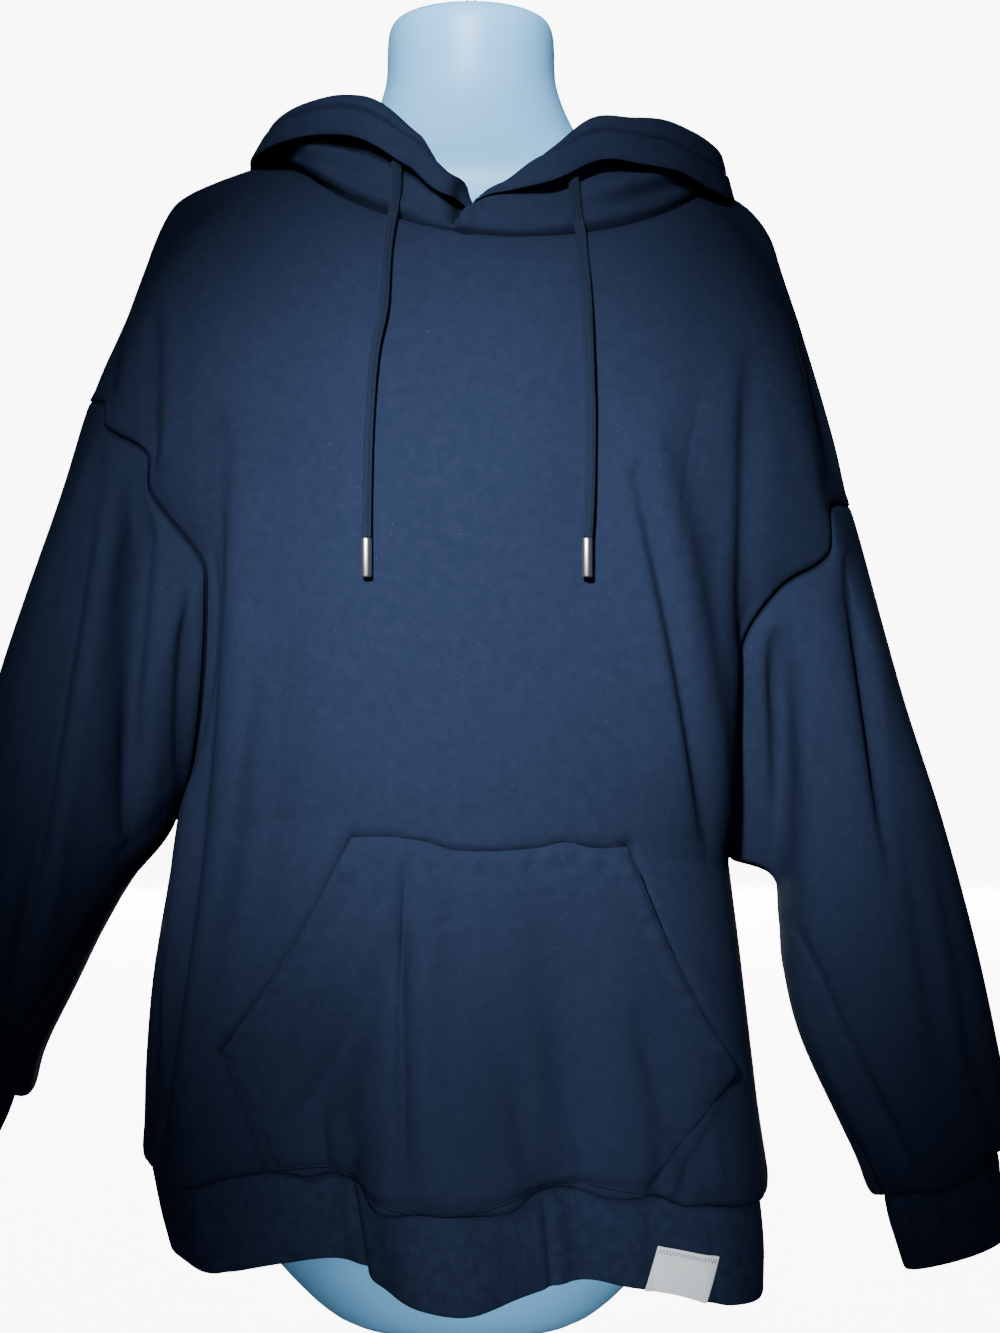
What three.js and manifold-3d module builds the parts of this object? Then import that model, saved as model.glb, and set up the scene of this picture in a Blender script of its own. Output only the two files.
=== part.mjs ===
// A heavy fleece pullover hoodie on a limbless torso form, which stands on its own flat base.
// Millimetres. +X is the viewer's right, -Y is the front and +Z is up.
// The origin is the centre of the form's base. Left and right are the viewer's.
import * as THREE from "three";
import Module from "manifold-3d";
import { mergeVertices } from "three/addons/utils/BufferGeometryUtils.js";

const wasm = await Module();
wasm.setup();

// Cloth and seams
const FLEECE = 2.2;
const SEAM_GAP = 0.3;
const ARMHOLE_GAP = 0.8;
const PATCH_GAP = 0.35;
const LABEL_THICK = 0.8;

// How finely the cloth is divided
const FRONT_COLUMNS = 26;
const BACK_COLUMNS = 26;
const SHOULDER_COLUMNS = 6;
const LOWER_ROWS = 9;
const UPPER_ROWS = 12;
const SLEEVE_ROWS = 15;
const BAND_ROWS = 3;
const CUFF_ROWS = 2;
const HOOD_ROWS = 22;
const FORM_COLUMNS = 36;

// Colours
const NAVY = new THREE.Color(0.022, 0.045, 0.09);
const RIB_NAVY = new THREE.Color(0.018, 0.036, 0.075);
const CORD_NAVY = new THREE.Color(0.016, 0.028, 0.055);

// Half girths and heights of the body tube, from the band seam (up 0) to the armpits (up 1).
// left and right are the side seams, front and back the depths at the middle.
const BODY = [
  { up: 0, left: -212, right: 192, front: -130, back: 124, leftZ: 107, rightZ: 83, frontZ: 114, backZ: 102 },
  { up: 0.09, left: -214, right: 195, front: -138, back: 132, leftZ: 125, rightZ: 102, frontZ: 132, backZ: 122 },
  { up: 0.35, left: -215, right: 190, front: -131, back: 126, leftZ: 176, rightZ: 150, frontZ: 184, backZ: 178 },
  { up: 0.7, left: -208, right: 180, front: -127, back: 120, leftZ: 260, rightZ: 238, frontZ: 264, backZ: 262 },
  { up: 1, left: -196, right: 172, front: -122, back: 114, leftZ: 330, rightZ: 304, frontZ: 332, backZ: 332 },
];

// The rib band, from the hem (up 0) to the seam that joins it to the body (up 1)
const BAND = [
  { up: 0, left: -200, right: 195, front: -126, back: 120, leftZ: 52, rightZ: 20, frontZ: 52, backZ: 40 },
  { up: 0.5, left: -207, right: 195, front: -131, back: 125, leftZ: 80, rightZ: 52, frontZ: 83, backZ: 71 },
  { ...BODY[0], up: 1 },
];

// Long soft waves that run up from the hem. across is -1 at the left side seam and 1 at the right.
const HEM_WAVES = [
  { side: -1, across: 0, wide: 0.095, out: 27 },
  { side: -1, across: -0.12, wide: 0.085, out: 26 },
  { side: -1, across: -0.23, wide: 0.19, out: -20 },
  { side: -1, across: 0.25, wide: 0.09, out: -15 },
  { side: -1, across: 0.37, wide: 0.11, out: -8 },
  { side: -1, across: 0.48, wide: 0.1, out: -8 },
  { side: -1, across: -0.6, wide: 0.11, out: 8 },
  { side: 1, across: -0.42, wide: 0.14, out: -14 },
  { side: 1, across: -0.12, wide: 0.15, out: 9 },
  { side: 1, across: 0.2, wide: 0.14, out: -15 },
  { side: 1, across: 0.55, wide: 0.14, out: 8 },
];
const WAVE_DIP = 0.42;
const WAVE_TOP = 0.95;

// The neckline: an oval that dips at the front and rises at the back of the neck
const NECK = { middle: 22, half: 134, front: 88, back: 80, leftZ: 765, rightZ: 752, dip: 52.5, rise: 15 };
const NECK_DIP_POWER = 1.45;

// Shoulder seams, from the neckline (at 0) to the head of the sleeve (at 1)
const SHOULDER = {
  left: [
    { at: 0, x: -112, y: 0, z: 765 },
    { at: 0.09, x: -133, y: 2, z: 770 },
    { at: 0.21, x: -160, y: 4, z: 763 },
    { at: 0.35, x: -195, y: 6, z: 748 },
    { at: 0.47, x: -209, y: 7, z: 728 },
    { at: 0.67, x: -226, y: 8, z: 683 },
    { at: 0.85, x: -243, y: 8, z: 646 },
    { at: 1, x: -257, y: 8, z: 613 },
  ],
  right: [
    { at: 0, x: 156, y: 0, z: 752 },
    { at: 0.08, x: 175, y: 3, z: 749 },
    { at: 0.16, x: 191, y: 5, z: 737 },
    { at: 0.25, x: 203, y: 6, z: 719 },
    { at: 0.34, x: 209, y: 7, z: 697 },
    { at: 0.46, x: 219, y: 8, z: 670 },
    { at: 0.61, x: 230, y: 8, z: 636 },
    { at: 0.81, x: 244, y: 8, z: 589 },
    { at: 1, x: 255, y: 8, z: 543 },
  ],
};

// Armhole seams, from the armpit (at 0) to the shoulder seam (at 1)
const ARMHOLE = {
  left: {
    front: [
      { at: 0, x: -196, y: 0, z: 330 },
      { at: 0.13, x: -184, y: -22, z: 369 },
      { at: 0.3, x: -174, y: -42, z: 424 },
      { at: 0.51, x: -171, y: -56, z: 495 },
      { at: 0.72, x: -207, y: -54, z: 561 },
      { at: 0.88, x: -238, y: -30, z: 600 },
      { at: 1, x: -257, y: 8, z: 613 },
    ],
    back: [
      { at: 0, x: -196, y: 0, z: 330 },
      { at: 0.13, x: -188, y: 24, z: 369 },
      { at: 0.3, x: -182, y: 46, z: 424 },
      { at: 0.51, x: -182, y: 62, z: 495 },
      { at: 0.72, x: -212, y: 62, z: 561 },
      { at: 0.88, x: -240, y: 40, z: 600 },
      { at: 1, x: -257, y: 8, z: 613 },
    ],
  },
  right: {
    front: [
      { at: 0, x: 172, y: 0, z: 304 },
      { at: 0.17, x: 174, y: -25, z: 349 },
      { at: 0.36, x: 174, y: -45, z: 404 },
      { at: 0.54, x: 179, y: -58, z: 459 },
      { at: 0.7, x: 211, y: -55, z: 494 },
      { at: 0.82, x: 236, y: -37, z: 516 },
      { at: 1, x: 255, y: 8, z: 543 },
    ],
    back: [
      { at: 0, x: 172, y: 0, z: 304 },
      { at: 0.17, x: 173, y: 25, z: 349 },
      { at: 0.36, x: 176, y: 47, z: 404 },
      { at: 0.54, x: 187, y: 63, z: 459 },
      { at: 0.7, x: 216, y: 61, z: 494 },
      { at: 0.82, x: 240, y: 44, z: 516 },
      { at: 1, x: 255, y: 8, z: 543 },
    ],
  },
};

// Sleeves, from the armhole (along 0) to the cuff seam (along 1).
// outer is the fold under the shoulder seam and inner the underarm fold, deep the half depth in Y.
const SLEEVE = {
  left: [
    { along: 0, outerX: -257, outerZ: 613, innerX: -196, innerZ: 330, deep: 58, y: 2 },
    { along: 0.12, outerX: -273, outerZ: 556, innerX: -206, innerZ: 314, deep: 66, y: 0 },
    { along: 0.3, outerX: -298, outerZ: 480, innerX: -228, innerZ: 288, deep: 68, y: -4 },
    { along: 0.5, outerX: -323, outerZ: 395, innerX: -246, innerZ: 256, deep: 62, y: -8 },
    { along: 0.7, outerX: -345, outerZ: 310, innerX: -264, innerZ: 218, deep: 54, y: -12 },
    { along: 0.88, outerX: -367, outerZ: 238, innerX: -286, innerZ: 176, deep: 44, y: -15 },
    { along: 0.95, outerX: -375, outerZ: 208, innerX: -295, innerZ: 159, deep: 37, y: -16 },
    { along: 1, outerX: -371, outerZ: 188, innerX: -301, innerZ: 153, deep: 24, y: -17 },
  ],
  right: [
    { along: 0, outerX: 255, outerZ: 543, innerX: 172, innerZ: 304, deep: 60, y: 2 },
    { along: 0.12, outerX: 268, outerZ: 494, innerX: 200, innerZ: 294, deep: 64, y: -1 },
    { along: 0.3, outerX: 290, outerZ: 408, innerX: 206, innerZ: 264, deep: 66, y: -6 },
    { along: 0.5, outerX: 314, outerZ: 328, innerX: 208, innerZ: 234, deep: 62, y: -12 },
    { along: 0.7, outerX: 336, outerZ: 242, innerX: 219, innerZ: 188, deep: 54, y: -18 },
    { along: 0.88, outerX: 351, outerZ: 166, innerX: 246, innerZ: 130, deep: 45, y: -22 },
    { along: 0.95, outerX: 354, outerZ: 138, innerX: 263, innerZ: 100, deep: 37, y: -23 },
    { along: 1, outerX: 347, outerZ: 116, innerX: 272, innerZ: 86, deep: 23, y: -24 },
  ],
};
const ARMHOLE_BLEND = 0.42;
const TOP_SAMPLES = 12;
const TOP_SOFTNESS = 0.6;

// Cuffs, from the sleeve (along 0) to the open end (along 1)
const CUFF = {
  left: [
    { along: 0, outerX: -371, outerZ: 188, innerX: -301, innerZ: 153, deep: 24, y: -17 },
    { along: 1, outerX: -394, outerZ: 138, innerX: -323, innerZ: 104, deep: 22, y: -18 },
  ],
  right: [
    { along: 0, outerX: 347, outerZ: 116, innerX: 272, innerZ: 86, deep: 23, y: -24 },
    { along: 1, outerX: 356, outerZ: 62, innerX: 287, innerZ: 38, deep: 22, y: -26 },
  ],
};

// Long folds in the sleeves and body, drawn in front view from (x0, z0) to (x1, z1).
// in is how far the cloth is pushed in, negative where it stands out.
const FOLDS = [
  { piece: "left", side: -1, x0: -214, z0: 594, x1: -226, z1: 334, wide: 15, in: 14 },
  { piece: "left", side: -1, x0: -262, z0: 514, x1: -300, z1: 284, wide: 16, in: 11 },
  { piece: "left", side: 1, x0: -222, z0: 554, x1: -246, z1: 344, wide: 16, in: 13 },
  { piece: "right", side: -1, x0: 238, z0: 514, x1: 262, z1: 354, wide: 14, in: 9 },
  { piece: "right", side: -1, x0: 196, z0: 454, x1: 206, z1: 316, wide: 12, in: 11 },
  { piece: "right", side: 1, x0: 212, z0: 474, x1: 246, z1: 284, wide: 16, in: 13 },
  { piece: "front", side: -1, x0: 112, z0: 574, x1: 150, z1: 334, wide: 24, in: -9 },
  { piece: "front", side: -1, x0: -120, z0: 554, x1: -140, z1: 194, wide: 26, in: 8 },
  { piece: "back", side: 1, x0: -110, z0: 574, x1: -130, z1: 214, wide: 28, in: 11 },
  { piece: "back", side: 1, x0: 96, z0: 574, x1: 110, z1: 214, wide: 28, in: 11 },
];

// The hood's section at stations round the neckline, in degrees from the middle front.
// It stands up from the neckline at a lean, rolls over, falls at a flare, and behind turns up again.
// swing turns the way it leans towards the back, in degrees.
const HOOD = {
  left: [
    { around: 0, stand: 24, lean: -8, roll: 3, fall: 10, flare: 10, turn: 0, rise: 0, swing: 0 },
    { around: 13, stand: 38, lean: -9, roll: 4, fall: 14, flare: 10, turn: 0, rise: 0, swing: 0 },
    { around: 26, stand: 51, lean: -10, roll: 5, fall: 18, flare: 11, turn: 0, rise: 0, swing: 0 },
    { around: 39, stand: 62, lean: -9, roll: 6, fall: 21, flare: 13, turn: 0, rise: 0, swing: 0 },
    { around: 51, stand: 58, lean: -8, roll: 6, fall: 22, flare: 16, turn: 0, rise: 0, swing: 0 },
    { around: 64, stand: 45, lean: -2, roll: 6, fall: 22, flare: 22, turn: 0, rise: 0, swing: 4 },
    { around: 77, stand: 29, lean: 10, roll: 7, fall: 22, flare: 29, turn: 0, rise: 0, swing: 10 },
    { around: 90, stand: 17, lean: 24, roll: 7, fall: 20, flare: 33, turn: 1, rise: 3, swing: 18 },
    { around: 103, stand: 16, lean: 22, roll: 8, fall: 28, flare: 30, turn: 3, rise: 8, swing: 40 },
    { around: 116, stand: 19, lean: 15, roll: 8, fall: 56, flare: 24, turn: 7, rise: 36, swing: 46 },
    { around: 129, stand: 21, lean: 9, roll: 9, fall: 102, flare: 18, turn: 10, rise: 84, swing: 38 },
    { around: 142, stand: 24, lean: 5, roll: 9, fall: 138, flare: 15, turn: 12, rise: 124, swing: 28 },
    { around: 155, stand: 24, lean: 3, roll: 9, fall: 166, flare: 13, turn: 13, rise: 154, swing: 18 },
    { around: 168, stand: 24, lean: 2, roll: 9, fall: 183, flare: 12, turn: 14, rise: 173, swing: 8 },
    { around: 180, stand: 24, lean: 2, roll: 9, fall: 188, flare: 12, turn: 14, rise: 179, swing: 0 },
  ],
  right: [
    { around: 0, stand: 30, lean: -8, roll: 3, fall: 10, flare: 10, turn: 0, rise: 0, swing: 0 },
    { around: 13, stand: 47, lean: -9, roll: 5, fall: 15, flare: 10, turn: 0, rise: 0, swing: 0 },
    { around: 26, stand: 64, lean: -10, roll: 6, fall: 22, flare: 12, turn: 0, rise: 0, swing: 0 },
    { around: 39, stand: 58, lean: -12, roll: 7, fall: 25, flare: 13, turn: 0, rise: 0, swing: 0 },
    { around: 51, stand: 50, lean: -14, roll: 8, fall: 28, flare: 14, turn: 0, rise: 0, swing: 0 },
    { around: 64, stand: 37, lean: -15, roll: 8, fall: 32, flare: 13, turn: 0, rise: 0, swing: 2 },
    { around: 77, stand: 23, lean: -12, roll: 8, fall: 30, flare: 12, turn: 0, rise: 0, swing: 6 },
    { around: 90, stand: 17, lean: -6, roll: 7, fall: 26, flare: 16, turn: 1, rise: 2, swing: 18 },
    { around: 103, stand: 17, lean: 2, roll: 8, fall: 30, flare: 22, turn: 3, rise: 9, swing: 42 },
    { around: 116, stand: 19, lean: 6, roll: 8, fall: 58, flare: 22, turn: 7, rise: 38, swing: 48 },
    { around: 129, stand: 23, lean: 6, roll: 9, fall: 105, flare: 18, turn: 10, rise: 87, swing: 38 },
    { around: 142, stand: 24, lean: 4, roll: 9, fall: 139, flare: 15, turn: 12, rise: 125, swing: 28 },
    { around: 155, stand: 24, lean: 3, roll: 9, fall: 166, flare: 13, turn: 13, rise: 154, swing: 18 },
    { around: 168, stand: 24, lean: 2, roll: 9, fall: 183, flare: 12, turn: 14, rise: 173, swing: 8 },
    { around: 180, stand: 24, lean: 2, roll: 9, fall: 188, flare: 12, turn: 14, rise: 179, swing: 0 },
  ],
};
const FLAP_LAP = 2.7;
const FLAP_CORNER = 5;

// The kangaroo pocket's outline in front view
const POCKET = {
  topLeft: [-72, 328],
  topRight: [98, 321],
  rightCorner: [171, 173],
  rightFoot: [128, 74],
  leftFoot: [-128, 74],
  leftCorner: [-154, 193],
  mouthBow: 9,
};
const POCKET_ROWS = LOWER_ROWS + 2;

// The label on the band, by its four corners in front view; the lower two lie past the hem
const LABEL = [
  [118.5, 70],
  [158, 60],
  [150, 14],
  [110, 24],
];

// Drawcords with metal tips. Each route runs from the eyelet down the chest.
const CORD_WIDE = 6.6;
const CORD_THICK = 5;
const TIP_LONG = 24;
const TIP_RADIUS = 3.3;
const CORD_STEPS = 44;
const CORD_ROUTE = {
  left: [
    [-45.1, -69.2, 762.1],
    [-46, -72.3, 762.3],
    [-46.4, -74.6, 758.5],
    [-46.2, -75.8, 751],
    [-46.2, -76.6, 740.5],
    [-46.9, -78.4, 731],
    [-48, -82.6, 721.5],
    [-49, -91, 714.2],
    [-50, -99.3, 704],
    [-51, -106, 691.5],
    [-51.5, -110.9, 680.5],
    [-52.8, -119, 654],
    [-57.4, -123.4, 630],
    [-60, -126.8, 600.5],
    [-61.4, -129.3, 572],
    [-62, -130.7, 543],
    [-62.3, -131.4, 513],
  ],
  right: [
    [64.6, -77.2, 750.1],
    [65.3, -80.3, 750.3],
    [65.8, -82.4, 746.8],
    [66.2, -83.5, 739],
    [67, -84.9, 728],
    [68.6, -87.2, 716],
    [69.7, -94.6, 707.4],
    [70.6, -102.6, 694.4],
    [71.1, -107.2, 686.5],
    [72, -112.4, 674.8],
    [73, -118.2, 654.8],
    [73.6, -124, 630],
    [74.1, -127.1, 610],
    [74.6, -129, 591],
    [74.4, -131.2, 562],
    [73.7, -131.8, 533],
    [72.5, -131.8, 513],
  ],
};

// The torso form: half widths and half depths by height
const FORM = [
  { z: 0, wide: 78, deep: 58, middle: -5 },
  { z: 5, wide: 88, deep: 65, middle: -5 },
  { z: 18, wide: 104, deep: 75, middle: -5 },
  { z: 44, wide: 128, deep: 87, middle: -5 },
  { z: 79, wide: 149, deep: 96, middle: -5 },
  { z: 129, wide: 160, deep: 100, middle: -5 },
  { z: 214, wide: 160, deep: 100, middle: -5 },
  { z: 314, wide: 148, deep: 94, middle: -5 },
  { z: 384, wide: 144, deep: 91, middle: -5 },
  { z: 474, wide: 152, deep: 95, middle: -5 },
  { z: 554, wide: 168, deep: 99, middle: -5 },
  { z: 614, wide: 182, deep: 94, middle: -5 },
  { z: 654, wide: 192, deep: 84, middle: -3 },
  { z: 687, wide: 196, deep: 72, middle: -2 },
  { z: 708, wide: 193, deep: 61, middle: -2 },
  { z: 724, wide: 182, deep: 52, middle: -1 },
  { z: 736.4, wide: 167, deep: 46, middle: 1 },
  { z: 746.4, wide: 148, deep: 43, middle: 2 },
  { z: 755.2, wide: 126, deep: 42, middle: 2 },
  { z: 764, wide: 104, deep: 43, middle: 1 },
  { z: 774, wide: 86, deep: 46, middle: 0 },
  { z: 785, wide: 74, deep: 49, middle: 0 },
  { z: 798, wide: 66, deep: 52, middle: 0 },
  { z: 812, wide: 60, deep: 54.5, middle: 0 },
  { z: 826, wide: 56.5, deep: 55.5, middle: 0 },
  { z: 851, wide: 55.5, deep: 55.5, middle: 0 },
  { z: 861, wide: 53, deep: 53, middle: 0 },
  { z: 866, wide: 47, deep: 47, middle: 0 },
  { z: 869, wide: 34, deep: 34, middle: 0 },
  { z: 870.5, wide: 16, deep: 16, middle: 0 },
];
const FORM_TOP = 871;

// The wire loop on the neck
const LOOP = { wire: 1.6, legs: 5.6, eye: 11, tall: 34, sides: 8, steps: 30 };

const { lerp, clamp, smoothstep, degToRad } = THREE.MathUtils;
const sideSign = { left: -1, right: 1 };

// The value of one column of a table at key t, on a smooth curve through its rows
function read(rows, key, t, name) {
  const last = rows.length - 1;
  let i = 0;
  while (i < last - 1 && t > rows[i + 1][key]) i++;
  const slope = (k) => {
    const a = rows[Math.max(k - 1, 0)];
    const b = rows[Math.min(k + 1, last)];
    return (b[name] - a[name]) / (b[key] - a[key]);
  };
  const a = rows[i];
  const b = rows[i + 1];
  const span = b[key] - a[key];
  const s = clamp((t - a[key]) / span, 0, 1);
  const s2 = s * s;
  const s3 = s2 * s;
  const start = (2 * s3 - 3 * s2 + 1) * a[name] + (s3 - 2 * s2 + s) * span * slope(i);
  const end = (3 * s2 - 2 * s3) * b[name] + (s3 - s2) * span * slope(i + 1);
  return start + end;
}

function readPoint(rows, t) {
  return new THREE.Vector3(...["x", "y", "z"].map((name) => read(rows, "at", t, name)));
}

// How far the waves push the cloth out at one place round the hem
function waveAt(side, across) {
  let out = 0;
  for (const w of HEM_WAVES) {
    if (w.side === side) out += w.out * Math.exp(-(((across - w.across) / w.wide) ** 2));
  }
  return out;
}

// How far the folds push one point of a piece in
function foldIn(piece, side, x, z) {
  let push = 0;
  for (const f of FOLDS) {
    if (f.piece !== piece || f.side !== side) continue;
    const dx = f.x1 - f.x0;
    const dz = f.z1 - f.z0;
    const along = ((x - f.x0) * dx + (z - f.z0) * dz) / (dx * dx + dz * dz);
    const off = Math.hypot(x - f.x0 - clamp(along, 0, 1) * dx, z - f.z0 - clamp(along, 0, 1) * dz);
    const ends = smoothstep(along, -0.25, 0.3) * (1 - smoothstep(along, 0.75, 1.2));
    push += f.in * ends * Math.exp(-((off / f.wide) ** 2));
  }
  return push;
}

// One point of the body tube or of the band, on its front (side -1) or back (side 1)
function tubePoint(rows, side, across, up, waveShare) {
  const get = (name) => read(rows, "up", up, name);
  const angle = (across * Math.PI) / 2;
  const share = (Math.sin(angle) + 1) / 2;
  const facing = Math.cos(angle);
  const depth = side < 0 ? get("front") : get("back");
  const middleZ = side < 0 ? get("frontZ") : get("backZ");
  const wave = waveAt(side, across) * waveShare;
  const ends = lerp(get("leftZ"), get("rightZ"), share);
  const lift = (middleZ - (get("leftZ") + get("rightZ")) / 2) * facing ** 2;
  return new THREE.Vector3(
    lerp(get("left"), get("right"), share) + wave * 0.25 * Math.sin(angle),
    depth * Math.max(facing, 0) ** 0.8 + side * wave * Math.min(1, facing * 3),
    ends + lift - wave * WAVE_DIP * (rows === BAND ? 1 : 1 - up),
  );
}

function neckPoint(side, degrees) {
  const angle = degToRad(degrees);
  const facing = Math.max(Math.cos(angle), 0);
  const ends = lerp(NECK.leftZ, NECK.rightZ, (Math.sin(angle) + 1) / 2);
  const height = side < 0 ? -NECK.dip * facing ** NECK_DIP_POWER : NECK.rise * facing ** 2;
  const depth = side < 0 ? -NECK.front * facing : NECK.back * facing;
  return new THREE.Vector3(NECK.middle + NECK.half * Math.sin(angle), depth, ends + height);
}

// The share of a panel's columns that lies under the neckline
const neckShare = (columns) => 1 - (2 * SHOULDER_COLUMNS) / columns;

// The panel's top edge: a shoulder seam, the neckline, and the other shoulder seam
function topPoint(side, across, share) {
  if (Math.abs(across) <= share) return neckPoint(side, (across / share) * 90);
  const seam = across < 0 ? SHOULDER.left : SHOULDER.right;
  return readPoint(seam, (Math.abs(across) - share) / (1 - share));
}

function armholePoint(hand, side, up) {
  return readPoint(ARMHOLE[hand][side < 0 ? "front" : "back"], up);
}

// The top edge with its corner at the neck smoothed away
function softTopPoint(side, across, share) {
  const sum = new THREE.Vector3();
  const half = TOP_SAMPLES * 0.5;
  for (let k = -half; k <= half; k++) {
    const reach = (k / half) * TOP_SOFTNESS * (1 - Math.abs(across));
    sum.add(topPoint(side, clamp(across + reach, -1, 1), share));
  }
  return sum.divideScalar(2 * half + 1);
}

// The cloth above the armpits, before the armholes pull it in
function drapePoint(side, across, up, share) {
  const low = tubePoint(BODY, side, across, 1, 0);
  const top = topPoint(side, across, share);
  const soft = softTopPoint(side, across, share);
  const dome = Math.sqrt(Math.max(0, 1 - up ** 3));
  const point = new THREE.Vector3().lerpVectors(low, soft, up);
  point.addScaledVector(top.clone().sub(soft), up ** 4);
  point.y = top.y + (low.y - top.y) * dome;
  return point;
}

function upperPoint(side, across, up, share) {
  const point = drapePoint(side, across, up, share);
  for (const hand of ["left", "right"]) {
    const edge = sideSign[hand];
    const near = (1 + edge * across) / 2;
    const pull = armholePoint(hand, side, up).sub(drapePoint(side, edge, up, share));
    point.addScaledVector(pull, near ** 3);
  }
  return point;
}

// One point of the front or back panel; row counts up from the band seam
function panelPoint(side, across, row, columns) {
  const piece = side < 0 ? "front" : "back";
  let point;
  if (row <= LOWER_ROWS) {
    const up = row / LOWER_ROWS;
    point = tubePoint(BODY, side, across, up, 1 - smoothstep(up, 0, WAVE_TOP));
  } else {
    const up = 1 - (1 - (row - LOWER_ROWS) / UPPER_ROWS) ** 1.35;
    point = upperPoint(side, across, up, neckShare(columns));
  }
  const edge = smoothstep(1 - Math.abs(across), 0, 0.3);
  point.y -= side * foldIn(piece, side, point.x, point.z) * edge;
  return point;
}

// One point of a ring across a sleeve or cuff; turn 0 is the underarm, 0.25 the front, 0.5 the outside
function ringPoint(rows, along, turn) {
  const get = (name) => read(rows, "along", along, name);
  const angle = turn * 2 * Math.PI;
  const share = (1 - Math.cos(angle)) / 2;
  return new THREE.Vector3(
    lerp(get("innerX"), get("outerX"), share),
    get("y") - get("deep") * Math.sin(angle),
    lerp(get("innerZ"), get("outerZ"), share),
  );
}

function armholeRing(hand, turn) {
  return turn <= 0.5 ? armholePoint(hand, -1, turn * 2) : armholePoint(hand, 1, 2 - turn * 2);
}

// The rows of the upper body are spaced unevenly, and so are the armhole's points
const armholeTurn = (step) => {
  const half = step <= UPPER_ROWS ? step : 2 * UPPER_ROWS - step;
  const up = 1 - (1 - half / UPPER_ROWS) ** 1.35;
  return step <= UPPER_ROWS ? up / 2 : 1 - up / 2;
};

function sleevePoint(hand, along, step) {
  const even = step / (2 * UPPER_ROWS);
  const start = ringPoint(SLEEVE[hand], 0, even);
  const pull = armholeRing(hand, armholeTurn(step)).sub(start);
  const point = ringPoint(SLEEVE[hand], along, even);
  point.addScaledVector(pull, (1 - smoothstep(along, 0, ARMHOLE_BLEND)) ** 1.5);
  const side = even > 0 && even < 0.5 ? -1 : 1;
  const away = smoothstep(along, 0, 0.08) * Math.abs(Math.sin(even * 2 * Math.PI));
  point.y -= side * foldIn(hand, side, point.x, point.z) * away;
  return point;
}

// A grid of points, rows from the bottom up
function gridOf(columns, rows, point) {
  const grid = [];
  for (let j = 0; j <= rows; j++) {
    grid.push(Array.from({ length: columns }, (_, i) => point(i, j)));
  }
  return grid;
}

// Outward normals of a grid, by differences along its rows and columns
function normalsOf(grid, wraps) {
  const rows = grid.length;
  const columns = grid[0].length;
  const at = (j, i) => grid[clamp(j, 0, rows - 1)][wraps ? (i + columns) % columns : clamp(i, 0, columns - 1)];
  return grid.map((row, j) =>
    row.map((_, i) => {
      const across = at(j, i + 1).clone().sub(at(j, i - 1));
      const up = at(j + 1, i).clone().sub(at(j - 1, i));
      return across.cross(up).normalize();
    }),
  );
}

// Edges that meet at a seam share one direction for their wall, so that the walls meet edge to edge.
// At the armpit a sleeve counts as much as the two panels.
function shareSeamNormals(pieces) {
  const shared = new Map();
  const keyOf = (p) => [p.x, p.y, p.z].map((value) => Math.round(value * 20)).join();
  const edges = [];
  for (const piece of pieces) {
    const last = piece.grid.length - 1;
    piece.grid.forEach((row, j) =>
      row.forEach((point, i) => {
        const sideEdge = !piece.wraps && (i === 0 || i === row.length - 1);
        if (j > 0 && j < last && !sideEdge) return;
        const key = keyOf(point);
        if (!shared.has(key)) shared.set(key, new THREE.Vector3());
        const weight = piece.isSleeve && i === 0 ? 2 : 1;
        shared.get(key).addScaledVector(piece.normals[j][i], weight);
        edges.push([piece.normals[j][i], key]);
      }),
    );
  }
  for (const [normal, key] of edges) normal.copy(shared.get(key)).normalize();
}

// Draws every edge of a piece back from its seam by half the seam gap
function drawBack(piece) {
  const { grid, wraps } = piece;
  const last = grid.length - 1;
  const step = (from, to, gap) => to.clone().sub(from).setLength(gap / 2);
  grid[0].forEach((point, i) => point.add(step(point, grid[1][i], SEAM_GAP)));
  grid[last].forEach((point, i) => point.add(step(point, grid[last - 1][i], piece.isSleeve ? ARMHOLE_GAP : SEAM_GAP)));
  if (wraps) return;
  for (const row of grid) {
    const end = row.length - 1;
    row[0].add(step(row[0], row[1], SEAM_GAP));
    row[end].add(step(row[end], row[end - 1], SEAM_GAP));
  }
}

// A closed wall between an outer and an inner grid
function wallBetween(outer, inner, wraps) {
  const positions = [];
  const quad = (a, b, c, d) => {
    const corners = a.distanceTo(c) <= b.distanceTo(d) ? [a, b, c, a, c, d] : [b, c, d, b, d, a];
    for (const p of corners) positions.push(p.x, p.y, p.z);
  };
  const last = outer.length - 1;
  const columns = outer[0].length;
  const spans = wraps ? columns : columns - 1;
  for (let i = 0; i < spans; i++) {
    const k = (i + 1) % columns;
    for (let j = 0; j < last; j++) {
      quad(outer[j][i], outer[j][k], outer[j + 1][k], outer[j + 1][i]);
      quad(inner[j][i], inner[j + 1][i], inner[j + 1][k], inner[j][k]);
    }
    quad(outer[0][i], inner[0][i], inner[0][k], outer[0][k]);
    quad(outer[last][i], outer[last][k], inner[last][k], inner[last][i]);
  }
  const end = columns - 1;
  for (let j = 0; j < last && !wraps; j++) {
    quad(outer[j][0], outer[j + 1][0], inner[j + 1][0], inner[j][0]);
    quad(outer[j][end], inner[j][end], inner[j + 1][end], outer[j + 1][end]);
  }
  const geometry = new THREE.BufferGeometry();
  geometry.setAttribute("position", new THREE.Float32BufferAttribute(positions, 3));
  return geometry;
}

// The grid moved along its normals
function moved(grid, normals, distance) {
  return grid.map((row, j) => row.map((p, i) => p.clone().addScaledVector(normals[j][i], distance)));
}

function clothPiece(grid, wraps, isSleeve = false) {
  return { grid, wraps, isSleeve, normals: normalsOf(grid, wraps) };
}

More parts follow.
